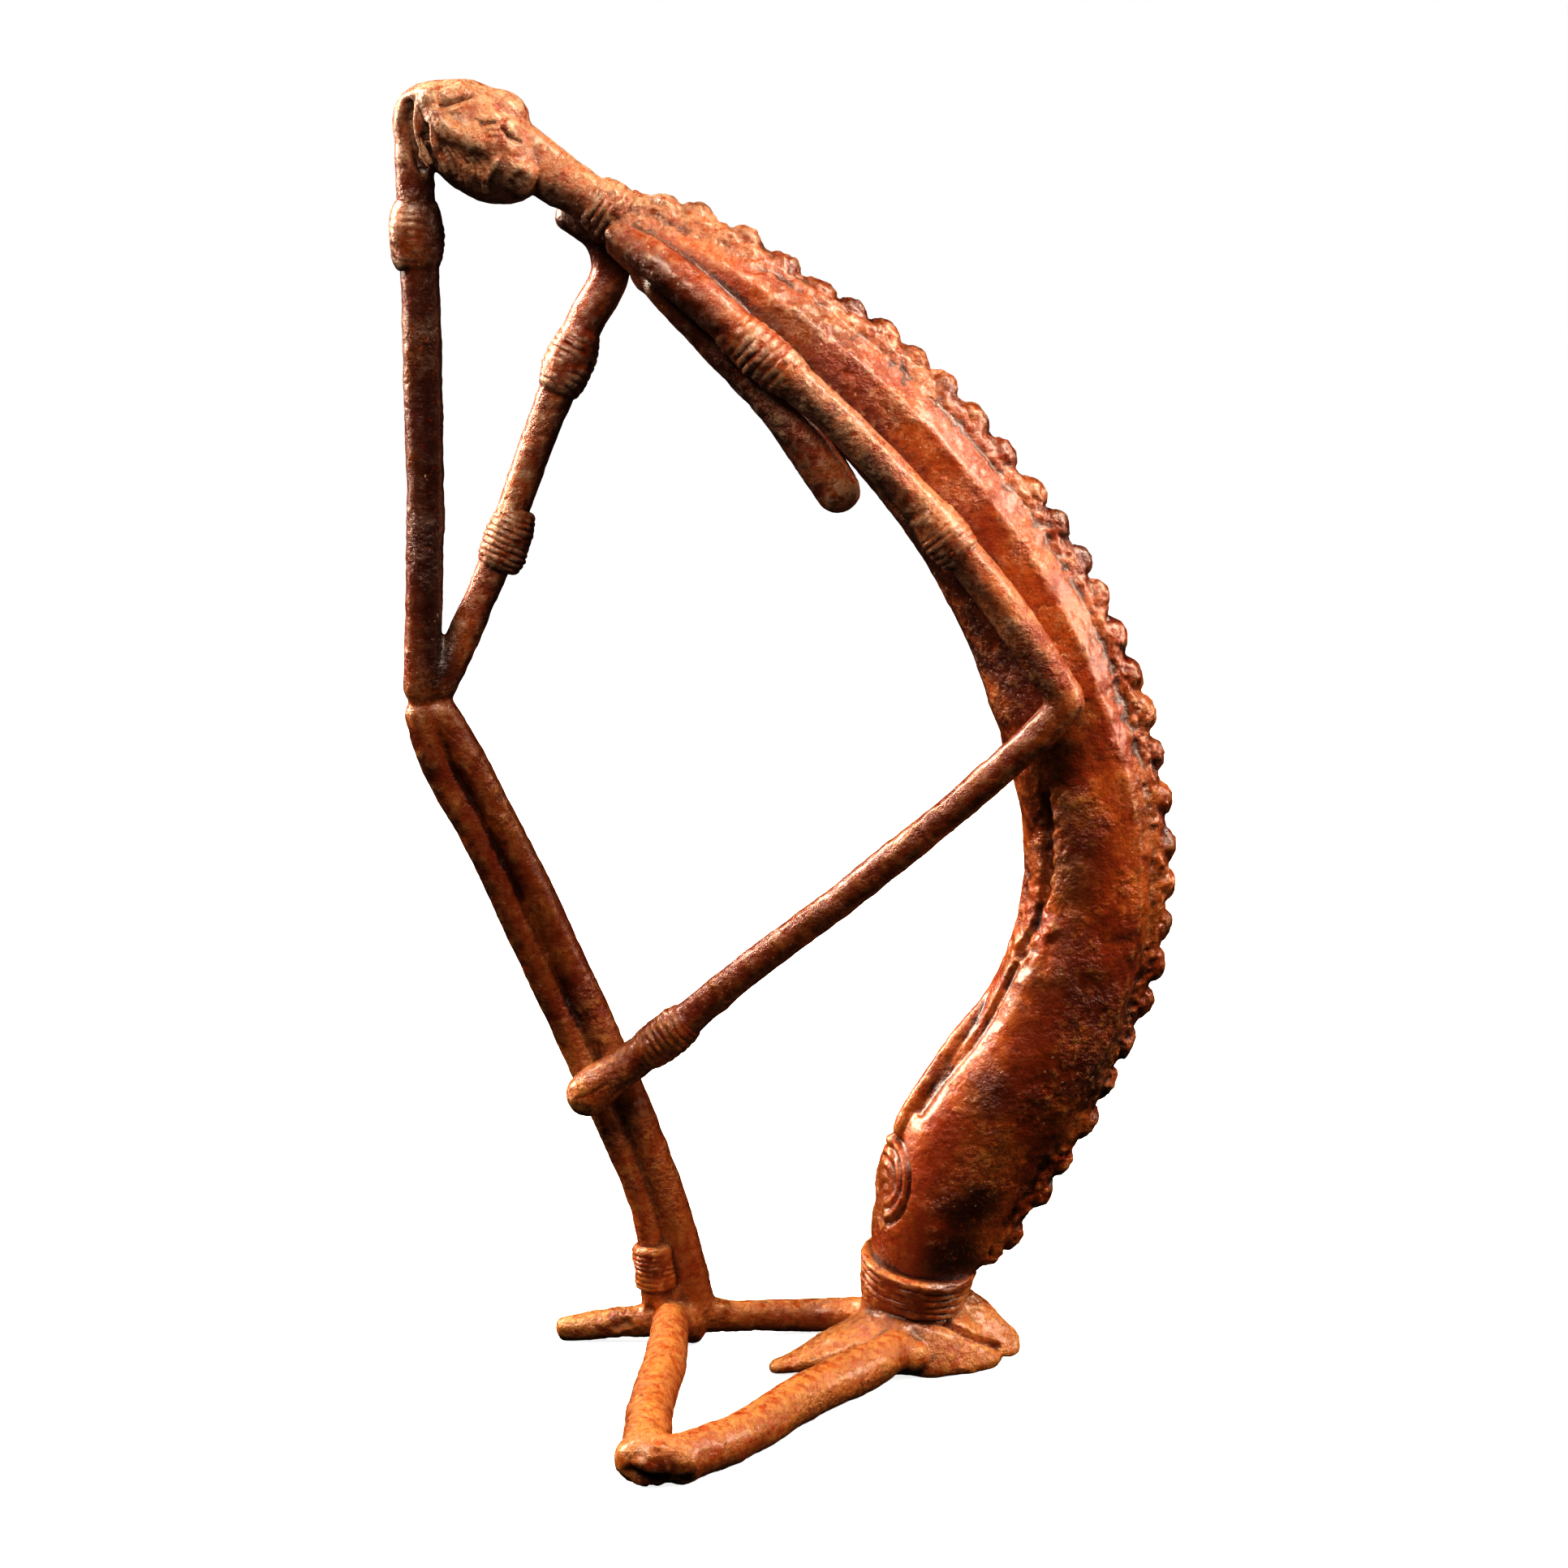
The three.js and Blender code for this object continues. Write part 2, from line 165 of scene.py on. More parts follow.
class NommoShape(bpy.types.PropertyGroup):
    """Sizes of the cast surface that a user may change."""

    grain: bpy.props.FloatProperty(
        name="Grain", description="Size of the smallest form kept in the casting, in mm", default=0.36,
        min=0.3, max=2,
    )
    fillet_rounds: bpy.props.IntProperty(
        name="Wax smoothing", description="How far the wax joints are smoothed", default=30, min=0, max=60,
    )
    faces: bpy.props.IntProperty(
        name="Faces", description="Faces kept for the whole casting", default=197000,
    )
    knobs: bpy.props.IntProperty(name="Knobs", description="Knobs along the back", default=31)
    thread_relief: bpy.props.FloatProperty(
        name="Thread relief", description="Depth of the groove between two turns, in mm", default=0.5,
    )
    roughness: bpy.props.FloatProperty(
        name="Cast roughness", description="Height of the casting's unevenness, in mm", default=0.2,
    )


class NommoPatina(bpy.types.PropertyGroup):
    """Colours of the patina, of the dust in it, and of the painted light and shade."""

    # Deep brown is also the colour of the painted shade.
    deep: bpy.props.FloatVectorProperty(
        name="Deep brown", description="Colour of the darkest patina", subtype="COLOR", size=4,
        default=(0.045, 0.006, 0.002, 1),
    )
    rust: bpy.props.FloatVectorProperty(
        name="Rust", description="Main colour of the patina", subtype="COLOR", size=4,
        default=(0.43, 0.06, 0.007, 1),
    )
    amber: bpy.props.FloatVectorProperty(
        name="Amber", description="Colour of the lighter patches", subtype="COLOR", size=4,
        default=(0.6, 0.135, 0.014, 1),
    )
    # The ochre dust near the floor partly stands in for the light bounced up from the floor.
    ochre: bpy.props.FloatVectorProperty(
        name="Ochre dust", description="Colour of the dust near the floor", subtype="COLOR", size=4,
        default=(0.82, 0.4, 0.11, 1),
    )
    # The peach dust on the upper back and the head is partly painted light, paler where the light falls
    # from above.
    peach: bpy.props.FloatVectorProperty(
        name="Peach dust", description="Colour of the dust on the upper back and the head", subtype="COLOR",
        size=4, default=(0.86, 0.5, 0.28, 1),
    )
    # Buff is the colour of the worn high spots, which also stand in for highlights on edges, and of the
    # painted glints.
    buff: bpy.props.FloatVectorProperty(
        name="Buff", description="Colour of the rubbed high spots", subtype="COLOR", size=4,
        default=(0.82, 0.56, 0.36, 1),
    )


class NommoStage(bpy.types.PropertyGroup):
    """Light of the stage."""

    key: bpy.props.FloatProperty(
        name="Key", description="Power of the high light", default=9.6, unit="POWER",
    )
    side: bpy.props.FloatProperty(
        name="Side", description="Power of the lights round the sides", default=7.6, unit="POWER",
    )
    fill: bpy.props.FloatProperty(name="Fill", description="Strength of the dim room", default=0.012)


def unit(rows):
    """Rows of vectors, each divided by its length."""
    return rows / np.linalg.norm(rows, axis=-1, keepdims=True)


def follow(stations, step=STEP):
    """Smooth curve through the stations, resampled at equal steps.

    Every column, place and sizes alike, is a cubic Hermite curve over the chord length, with the
    central differences of the stations as its slopes.
    """
    rows = np.array(stations, float)
    chord = np.r_[0, np.cumsum(np.linalg.norm(np.diff(rows[:, :3], axis=0), axis=1))]
    slope = np.gradient(rows, chord, axis=0)
    fine = np.linspace(0, chord[-1], 60 * len(rows))
    k = np.clip(np.searchsorted(chord, fine, side="right") - 1, 0, len(rows) - 2)
    span = (chord[k + 1] - chord[k])[:, None]
    t = (fine - chord[k])[:, None] / span
    curve = (2 * t**3 - 3 * t**2 + 1) * rows[k] + (3 * t**2 - 2 * t**3) * rows[k + 1]
    curve += span * ((t**3 - 2 * t**2 + t) * slope[k] + (t**3 - t**2) * slope[k + 1])
    length = np.r_[0, np.cumsum(np.linalg.norm(np.diff(curve[:, :3], axis=0), axis=1))]
    even = np.linspace(0, length[-1], max(int(length[-1] / step), 4) + 1)
    return np.stack([np.interp(even, length, column) for column in curve.T], axis=1)


def wrap(rings):
    """Closed surface over rings of points; the first and the last ring close in one point each."""
    inner = rings[1:-1]
    count, sides = inner.shape[:2]
    points = np.vstack([rings[0].mean(0), inner.reshape(-1, 3), rings[-1].mean(0)])
    grid = 1 + np.arange(count * sides).reshape(count, sides)
    beside = np.roll(grid, -1, axis=1)
    quads = np.stack([grid[:-1], beside[:-1], beside[1:], grid[1:]], axis=-1).reshape(-1, 4)
    low = np.stack([np.zeros(sides, int), beside[0], grid[0]], axis=-1)
    high = np.stack([np.full(sides, len(points) - 1), grid[-1], beside[-1]], axis=-1)
    triangles = np.vstack([low, quads[:, :3], quads[:, [0, 2, 3]], high])
    a, b, c = (points[triangles[:, k]] for k in range(3))
    if np.einsum("ij,ij->", a, np.cross(b, c)) < 0:
        triangles = triangles[:, ::-1]
    return points, triangles


def together(shells):
    """Several closed surfaces as one set of points and triangles."""
    starts = np.cumsum([0] + [len(points) for points, _ in shells[:-1]])
    points = np.vstack([points for points, _ in shells])
    return points, np.vstack([faces + start for (_, faces), start in zip(shells, starts)])


def oval(angle, share):
    """Plain oval section: cosine along the width, sine along the thickness."""
    return np.cos(angle) + 0 * share, np.sin(angle) + 0 * share


def carry(stations, side=(0, 1, 0), section=oval, blunt=1.0, step=STEP):
    """Round-ended bar: a section carried along a smooth path.

    A point is path + width * n * normal + thickness * b * across, with (n, b) the section at its
    angle. Past both ends the section shrinks as the cosine while the path runs on as the sine.
    """
    rows = follow([(*s[:4], s[4] if len(s) > 4 else s[3]) for s in stations], step)
    tangent = unit(np.gradient(rows[:, :3], axis=0))
    turn = np.linspace(0, np.pi / 2, CAP_RINGS + 1)[1:]
    push = (np.sin(turn) * blunt)[:, None]
    swell = np.cos(turn)[:, None]
    start = rows[0, :3] - (push * rows[0, 3] * tangent[0])[::-1]
    end = rows[-1, :3] + push * rows[-1, 3] * tangent[-1]
    centre = np.vstack([start, rows[:, :3], end])
    half = np.vstack([(swell * rows[0, 3:5])[::-1], rows[:, 3:5], swell * rows[-1, 3:5]])
    tangent = np.vstack([[tangent[0]] * CAP_RINGS, tangent, [tangent[-1]] * CAP_RINGS])
    normal = unit(np.cross(side, tangent))
    across = np.cross(tangent, normal)
    sides = int(np.clip(2 * np.pi * half.max() / step, 14, 160))
    angle = np.linspace(0, 2 * np.pi, sides, endpoint=False)[None, :]
    share = np.linspace(0, 1, len(centre))[:, None]
    n, b = section(angle, share)
    spread = normal[:, None] * (half[:, :1] * n)[..., None]
    spread = spread + across[:, None] * (half[:, 1:] * b)[..., None]
    return wrap(centre[:, None] + spread)


def lump(centre, half, tilt=0.0, step=STEP):
    """Sphere over latitude and longitude, with three half sizes and a tilt in the body's plane."""
    sides = int(np.clip(2 * np.pi * max(half) / step, 16, 120))
    latitude = np.linspace(0, np.pi, sides // 2 + 1)[:, None]
    longitude = np.linspace(0, 2 * np.pi, sides, endpoint=False)[None, :]
    ball = np.stack([
        np.sin(latitude) * np.cos(longitude),
        np.sin(latitude) * np.sin(longitude),
        np.cos(latitude) + 0 * longitude,
    ], axis=-1) * np.array(half)
    lean = np.radians(tilt)
    x = ball[..., 0] * np.cos(lean) + ball[..., 2] * np.sin(lean)
    z = ball[..., 2] * np.cos(lean) - ball[..., 0] * np.sin(lean)
    return wrap(np.stack([x, ball[..., 1], z], axis=-1) + np.array(centre))


def lattice(corner, seed):
    """One even random value from -1 to 1 for each whole-numbered corner of space."""
    mixed = corner.astype(np.uint32) * np.array((73856093, 19349663, 83492791), np.uint32)
    value = mixed[:, 0] ^ mixed[:, 1] ^ mixed[:, 2] ^ np.uint32(seed * 2654435 + 97)
    value = (value ^ (value >> np.uint32(15))) * np.uint32(2246822519)
    value = (value ^ (value >> np.uint32(13))) * np.uint32(3266489917)
    value ^= value >> np.uint32(16)
    return value / 2147483647.5 - 1


def noise(points, size, seed):
    """Smooth noise: random values on the corners of a cubic lattice, blended in between."""
    cell = points / size
    low = np.floor(cell)
    blend = cell - low
    blend = blend * blend * (3 - 2 * blend)
    low = low.astype(np.int64)
    total = np.zeros(len(points))
    for corner in range(8):
        offset = np.array((corner & 1, corner >> 1 & 1, corner >> 2))
        weight = np.where(offset, blend, 1 - blend).prod(axis=1)
        total += weight * lattice(low + offset, seed)
    return total


def away_from(points, route):
    """Distance of every point from a route of straight stretches."""
    best = np.full(len(points), np.inf)
    for a, b in zip(route[:-1], route[1:]):
        along = b - a
        t = np.clip((points - a) @ along / (along @ along), 0, 1)[:, None]
        best = np.minimum(best, np.linalg.norm(points - a - t * along, axis=1))
    return best


def stroke(away, rise, half):
    """Height of one stroke: a bell curve of the distance from its route."""
    away = away / half
    return rise * np.exp(-(away**2) * (0.4 + 0.6 * away**2))


def belly_groove():
    """Route of the groove beside the belly strip, seen from the side, in two stretches.

    The groove lies on the flank at a share of the half width, 0.6 at the elbow and 0.94 low down.
    """
    rows = follow(body_stations())
    outwards = -unit(np.cross((0, 1, 0), unit(np.gradient(rows[:, :3], axis=0))))
    share = np.linspace(0, 1, len(rows))
    c = np.interp(share, (0.56, 0.59, 0.7, 0.86), (0.6, 0.68, 0.84, 0.94))[:, None]
    route = rows[:, :3] - outwards * rows[:, 3:4] * c
    return route[(share > 0.56) & (share < 0.72)][::6], route[(share > 0.72) & (share < 0.88)][::6]


def boss_rings(points):
    """Height of the nested grooves on the boss, seen from the side.

    With e the elliptic distance from the middle: a cosine of e inside, a raised rim at e = 1 and a
    groove round it.
    """
    x, z = (points - RIM_MIDDLE)[:, [0, 2]].T
    lean = np.radians(RIM_LEAN)
    lengthwise = (z * np.cos(lean) + x * np.sin(lean)) / RIM_HALF[0]
    crosswise = (x * np.cos(lean) - z * np.sin(lean)) / RIM_HALF[1]
    e = np.hypot(lengthwise, crosswise)
    rings = 0.25 * np.cos(e * 2 * np.pi * 3) * np.clip((0.95 - e) / 0.1, 0, 1)
    return rings + 0.6 * np.exp(-(((e - 1.02) / 0.1) ** 2)) - 0.6 * np.exp(-(((e - 1.24) / 0.1) ** 2))


def face_relief(points):
    """Height of the strokes of the face, seen from the side and faded out at the middle line."""
    seen = points * (1, 0, 1)
    total = np.zeros(len(points))
    for rise, half, route in FACE_STROKES:
        total += stroke(away_from(seen, np.array([(x, 0, z) for x, z in route], float)), rise, half)
    return total * np.clip(np.abs(points[:, 1]) / 3, 0, 1)


def belly_relief(points):
    """Height of the groove beside the belly strip and of the rings on the boss, seen from the side.

    Noise bends the upper stretch of the groove and tears its lips.
    """
    seen = points * (1, 0, 1)
    upper, lower = belly_groove()
    bend = np.stack([noise(points, 2.2, 41), 0 * seen[:, 0], noise(points, 2.2, 42)], 1)
    away = away_from(seen + 0.5 * bend, upper)
    torn = np.exp(-((away / 4) ** 2)) * (noise(points, 2.1, 43) + 0.7 * noise(points, 1.2, 44))
    groove = stroke(away, -1.3, 0.9) + 0.4 * torn + stroke(away_from(seen, lower), -1, 0.8)
    return groove + boss_rings(seen)


def strokes(points):
    """Height of all strokes pressed into or laid on the casting."""
    height = np.zeros(len(points))
    face = (points[:, 0] < FACE_CORNER[0]) & (points[:, 2] > FACE_CORNER[1])
    height[face] = face_relief(points[face])
    x_from, z_from, z_to = BELLY_REACH
    belly = (points[:, 0] > x_from) & (points[:, 2] > z_from) & (points[:, 2] < z_to)
    height[belly] += belly_relief(points[belly])
    for rise, half, route in BODY_STROKES:
        height += stroke(away_from(points, np.array(route, float)), rise, half)
    return height


def body_stations():
    """The body's middle line as stations for carry."""
    return [(x, 0, z, width / 2, thickness / 2) for x, z, width, thickness in BODY_LINE]


def fish(angle, share):
    """Oval flank with a crisp shoulder line near the back and a groove beside the belly strip.

    c is -1 at the back and 1 at the belly. The shoulder is a narrow peak that moves from c -0.45
    at the shoulders to c -0.85 at the tail; the groove is a notch that moves from c 0.68 to 0.9
    and narrows on its way down the lower belly.
    """
    c, s = np.cos(angle), np.sin(angle)
    shoulder = -0.45 - 0.4 * np.clip((share - 0.35) / 0.45, 0, 1)
    fade = np.clip(share / 0.08, 0, 1) * np.clip((0.82 - share) / 0.1, 0, 1)
    peak = np.exp(-np.abs(c - shoulder) / 0.16) * fade
    down = np.clip((share - 0.585) / 0.275, 0, 1)
    notch = np.exp(-(((c - 0.68 - 0.22 * down) / (0.1 - 0.04 * down)) ** 2))
    notch = notch * np.clip((share - 0.555) / 0.03, 0, 1) * np.clip((0.88 - share) / 0.03, 0, 1)
    return c + 0 * share, s * (1 + 0.12 * np.minimum(0, c) + 0.13 * peak - 0.12 * notch)


def back_edge():
    """Points along the edge of the back, with the direction outwards at each."""
    rows = follow(body_stations())
    outwards = -unit(np.cross((0, 1, 0), unit(np.gradient(rows[:, :3], axis=0))))
    return rows[:, :3] + outwards * rows[:, 3:4], outwards


def ridge():
    """Low ridge of wax along the back, a little lower than the knobs that stand on it."""
    edge, outwards = back_edge()
    _, place, stand = np.array(KNOB_ROW).T
    share = np.linspace(0, CREST_END, RIDGE_STATIONS)
    at = (share * (len(edge) - 1)).astype(int)
    height = np.maximum(np.interp(share, place, stand) - 0.4, RIDGE_LEAST)
    middle = edge[at] - 1.6 * outwards[at]
    return [carry(np.column_stack([middle, height, np.full(RIDGE_STATIONS, RIDGE_WIDTH)]))]


def crest(count):
    """Pressed wax knobs in a row along the back, each a little different."""
    edge, outwards = back_edge()
    chance = np.random.default_rng(11)
    last = len(edge) - 1
    number, place, stand = np.array(KNOB_ROW).T
    numbers = np.linspace(0, number[-1], count)
    shells = []
    for share, top in zip(np.interp(numbers, number, place), np.interp(numbers, number, stand)):
        at = int(share * last)
        lean = np.degrees(np.arctan2(outwards[at][0], outwards[at][2]))
        size = np.array(KNOB_SIZE) * chance.uniform(0.92, 1.08, 3)
        centre = edge[at] + outwards[at] * (top + 0.25 - size[2]) + (0, chance.uniform(-0.5, 0.5), 0)
        shells.append(lump(centre, size, lean + chance.uniform(-12, 12)))
    return shells


def belly():
    """Strip along the belly, and the oval boss below it."""
    strip = carry((
        (57, 0, 146, 2.6, 2.4), (59.6, 0, 118, 3, 2.6), (51.6, 0, 91, 3, 2.6), (39.8, 0, 75, 3, 2.6),
        (29.8, 0, 59, 2.6, 2.4), (27, 0, 53, 2.4, 2.2),
    ))
    return [strip, boss()]


def boss():
    """Oval boss low on the belly, its face turned a little to the near side.

    Over the angle of latitude the rings of the oval shrink to the crown as the cosine, and the
    height rises as the sine with a ripple of nested grooves.
    """
    half_length, half_width, height = BOSS_HALF
    along = unit(np.subtract(BOSS_FOOT, BOSS_TOP))
    outwards = np.array((along[2], 0, -along[0]))
    middle = np.add(BOSS_TOP, BOSS_FOOT) / 2 + outwards * 0.2
    face = outwards * np.cos(BOSS_TURN) + np.array((0, -1, 0)) * np.sin(BOSS_TURN)
    across = np.cross(face, along)
    turn = np.linspace(-0.9, np.pi / 2, 60)[:, None]
    angle = np.linspace(0, 2 * np.pi, 90, endpoint=False)[None, :]
    reach = np.cos(turn) + 0 * angle
    fade = np.clip(turn / 0.3, 0, 1) * np.clip((1.35 - turn) / 0.3, 0, 1)
    rise = np.sin(turn) * height + 0.32 * np.cos(reach * 2 * np.pi * 3.6) * fade
    rings = middle + along * (reach * np.cos(angle) * half_length)[..., None]
    rings = rings + across * (reach * np.sin(angle) * half_width)[..., None] + face * rise[..., None]
    return wrap(np.concatenate([rings[:1].mean(1, keepdims=True) + 0 * rings[:1], rings], axis=0))


def bell(angle, middle, spread):
    """Bell curve of the way round from the middle to an angle, with both in degrees."""
    away = (np.degrees(angle) - middle + 540) % 360 - 180
    return np.exp(-((away / spread) ** 2))


def fin():
    """Tail fin: a concave skirt round the collar, flat underneath, with its left fluke; the right fluke is
    added with the crisp forms.

    The reach at an angle is the waist and a bell curve for every swell. With q the share of the
    reach, the height falls from the top to the lip as (1 - q) ** 1.7, and on the front lobes, by a
    bell curve of the angle, as 0.62 (1 - q ** 1.8).
    """
    angle = np.linspace(0, 2 * np.pi, 160, endpoint=False)[None, :]
    outline = FIN["waist"] * 0.94 + 0 * angle
    for middle, reach, spread in FIN_SWELLS:
        outline = outline + (reach - FIN["waist"]) * bell(angle, middle, spread)
    q = np.linspace(0, 1, 30)[:, None]
    reach = FIN["waist"] + (outline - FIN["waist"]) * q
    lobe = bell(angle, *FRONT_LOBE)
    fall = (1 - lobe) * (1 - q) ** 1.7 + lobe * 0.62 * (1 - q**1.8)
    height = FIN["lip"] + (FIN["top"] - FIN["lip"]) * fall
    reach = np.vstack([0 * outline, reach, outline * 0.995, outline * 0.98, 0 * outline])
    flat = 0 * outline
    height = np.vstack([flat + FIN["top"], height, flat + FIN["lip"] / 2, flat, flat])
    skirt = wrap(np.stack([FIN["x"] + reach * np.cos(angle), reach * np.sin(angle), height], axis=-1))
    return [skirt, carry(LEFT_FLUKE, (0, 0, 1))]


def head():
    """Head, with the bulge at its back and the one at its brow."""
    return [
        lump((-69.1, 0, 288.5), (16.6, 11, 11.6), 42),
        lump((-63.8, 0, 294.8), (6.4, 7, 5), 24),
        lump((-78.6, 0, 297.6), (5.6, 7.6, 4.4), 10),
    ]


# Strokes pressed into or laid on the face, seen from the side: height, half width, then x and z
FACE_STROKES = (
    (-1.3, 0.4, ((-76.8, 295.8), (-74.2, 296.6), (-72, 297.5), (-69.9, 298.2))),
    (0.9, 1.7, ((-75.2, 298.7), (-72, 299.9))),
    (0.3, 0.5, ((-76.6, 294.2), (-73.6, 295), (-70.6, 296.2))),
    (1.2, 2.3, ((-79.4, 297.4), (-78.4, 294.4), (-76.4, 291.6), (-73.8, 289.6), (-69.7, 287.9))),
    (-0.9, 2, ((-75.5, 286.3), (-68.3, 283.4))),
    (-2.6, 1.3, ((-84.3, 296.4), (-85, 292.7), (-84.5, 288.8), (-83.1, 285.5), (-81.2, 282.3))),
    (-2.2, 0.8, ((-80.2, 291.5), (-80.4, 288.7), (-79.9, 285.8), (-78.4, 283))),
    (0.3, 1.3, ((-66.8, 293.4), (-64.4, 294))),
    (-0.6, 0.3, ((-67.4, 291.6), (-65.9, 292.1), (-64.5, 292.3))),
    (-0.2, 0.25, ((-66.6, 290.2), (-63, 290.5))),
    (-0.2, 0.25, ((-66.3, 288.9), (-62.7, 289.3))),
    (0.5, 1.6, ((-61.6, 291.9), (-60.8, 291.5))),
    (-0.6, 0.42, ((-62.9, 291.1), (-61.3, 288.9), (-58.9, 288.1))),
    (0.95, 0.5, ((-64.3, 283.9), (-66, 281.5), (-67.3, 279.8), (-67.5, 277.3))),
    (0.6, 1.3, ((-60, 283), (-59.8, 282.6))),
    (0.6, 1.2, ((-57.4, 282.4), (-57.3, 281.4))),
    *((0.45, 0.4, (
        (-77.2 + 1.62 * k, 287.2 - 0.44 * k),
        (-75 + 1.64 * k + 0.5 * (k % 2), 283.2 - 0.3 * k),
        (-73.9 + 1.4 * k, 281.2 - 0.2 * k - 1.2 * (k % 3)),
    )) for k in range(6)),
)

# Crease between the leaf of the right fluke and the skirt
FLUKE_CREASE = ((38.7, -9.3, 11.3), (41.6, -10.3, 10), (45.5, -9.7, 7.7), (48.6, -7.8, 6), (51.6, -6.3, 4))

# Strokes elsewhere: height, half width, then the route in space
BODY_STROKES = (
    (-1.8, 1, FLUKE_CREASE),
    (0.4, 0.6, ((-31.8, -38.6, 11.7), (-28.9, -34.4, 12.2), (-26.9, -33.4, 12.3), (-23.9, -38.6, 11.6))),
    (0.9, 2.4, ((58.2, -12, 111.2), (62, -12.8, 109), (57.4, -12, 105.8))),
    (-2.4, 1.9, ((-33.4, -83.6, 4), (-29, -84, 2.2), (-24, -83.8, 1.2), (-20.4, -82.4, 1))),
    (-1, 1.4, ((-41, 4.4, 5.2), (-38.4, 4.2, 6.2))),
    (-1.1, 1, ((-35.2, 4, 8.8), (-33.2, 4.6, 9.6))),
    (-0.5, 0.5, ((-50.4, -6.2, 65.4), (-46.4, -6.8, 66.8), (-42, -7, 69.6))),
    (-0.45, 0.45, ((-48.4, -6, 62.6), (-44.6, -6.6, 64), (-40.6, -6.6, 66.6))),
)


def neck():
    """Stem between the head and the shoulders."""
    return [carry((
        (-59.4, 0, 286, 6.6, 5), (-55.2, 0, 283.1, 6.3, 4.8), (-50.9, 0, 280, 6.1, 4.9),
        (-43.8, 0, 275.7, 5.4), (-35.4, 0, 270, 5.6), (-26, 0, 263.4, 8),
    ))]


def far_arm():
    """The arm whose elbow rests on the raised knee and whose hand holds the head."""
    upper = carry((
        (-49, 9.4, 271.8, 3.8), (-42, 10.8, 268, 4.9), (-40.2, 11.6, 261.2, 4.5), (-46.5, 11, 247.3, 4.6),
        (-58, 9.5, 219.2, 4.1), (-70.3, 7, 186.2, 3.9), (-80.9, 4.2, 163.4, 4.1),
    ))
    fore = carry((
        (-84.8, 4, 162.8, 4.7), (-84.7, 4, 170, 4.5), (-83.4, 3.4, 205, 4.4), (-83.3, 3, 238.3, 4.5),
        (-83.5, 2, 266, 4.5), (-83.7, 0.6, 288, 4.5), (-83, 0, 295.4, 4.9), (-79, 0, 298.6, 3.6, 5),
        (-74, 0, 299.6, 2.6, 4.6),
    ))
    shoulder = [
        lump((-33.6, 9, 262.6), (5.4, 4.4, 4.2), 40),
        lump((-44.6, 6, 272), (6.6, 6.2, 5), 32),
        lump((-30, 2, 258.6), (6, 7, 4.6), 40),
    ]
    return [upper, fore, *shoulder]


def fingers():
    """Two folds of the hand on each cheek, and the jaw, which stays crisp over the neck."""
    shells = [lump((-60.8, 0, 281.7), (6, 9.2, 6.5), 34)]
    for side in (-1, 1):
        outer = (
            (-83.2, 3.6 * side, 298, 1.4), (-82.9, 5.8 * side, 291.4, 1.3),
            (-81.9, 6.4 * side, 286.8, 1.1), (-79.8, 6.8 * side, 282.6, 0.7),
        )
        inner = (
            (-79.2, 7.6 * side, 292.4, 0.9), (-78, 8.8 * side, 287.4, 1), (-75.8, 7.9 * side, 281.8, 0.8),
        )
        shells += [carry(outer, step=FINGER_STEP), carry(inner, step=FINGER_STEP)]
    return shells


def near_arm():
    """The arm that crosses the flank to its elbow and comes forward to hold the shin."""
    upper = carry((
        (-37.4, -4.6, 268, 3.2), (-29, -9.4, 261.8, 4.3), (-19.3, -12.6, 254.1, 4.8),
        (-3.8, -15.4, 240.7, 4.6), (15.3, -16.4, 223.6, 4.4), (35.8, -17.4, 201.9, 4.4),
        (52.1, -18.4, 181.8, 4.6), (63.6, -18.8, 164.4, 4.4),
    ))
    fore = carry((
        (64.4, -18.8, 162.6, 4.3), (59.9, -18.8, 157.4, 4.1), (43.6, -17, 141.9, 3.8),
        (15.8, -13, 117.8, 3.8), (-12.6, -7, 94.3, 3.9), (-28.1, -4, 80.5, 4.4),
        (-37.9, -2.2, 73, 4.8), (-46.8, -1, 65.6, 5.4),
    ))
    return [upper, fore]


def raised_leg():
    """The raised leg, folded so that thigh and shin stand side by side, with its foot in front."""
    shin = carry((
        (-85, 4, 156.6, 4.4), (-83, 4, 148.6, 4.2), (-72.8, 4.5, 127.5, 4.1), (-57.1, 6, 91.5, 4),
        (-41.3, 7, 54.8, 4), (-32.7, 8, 29.9, 3.7), (-31.1, 8, 5.4, 3.9),
    ))
    thigh = carry((
        (-80.8, 4, 157.4, 4), (-76.1, 4, 149, 4), (-65.3, 4.5, 127.5, 4), (-49.3, 6, 91.5, 4.1),
        (-34.1, 7, 54.8, 4.1), (-25.7, 8, 29.9, 4), (-20.8, 10.4, 7.4, 4.4),
    ))
    foot = carry(((-31.5, 8, 5.8, 4.1), (-44.1, 8.5, 4.4, 3.6), (-54.8, 9, 2.9, 2.9)), blunt=0.4)
    hip_rod = carry(((-21, 10.6, 6, 4.4), (-13, 12, 5.3, 3.9), (15.9, 13.5, 5.2, 4.2), (25, 9, 6.8, 4.2)))
    web = lump((-27.2, 8.2, 12.5), (3, 2.6, 4.8))
    heel = lump((-22.4, 7.2, 3.8), (3.2, 3.4, 3.7))
    joint = lump((-26.4, 5.6, 5.6), (6, 5.4, 5))
    hip = lump((-16.6, 10.8, 7), (4.4, 3.6, 3.4))
    return [shin, thigh, foot, hip_rod, web, heel, joint, hip]


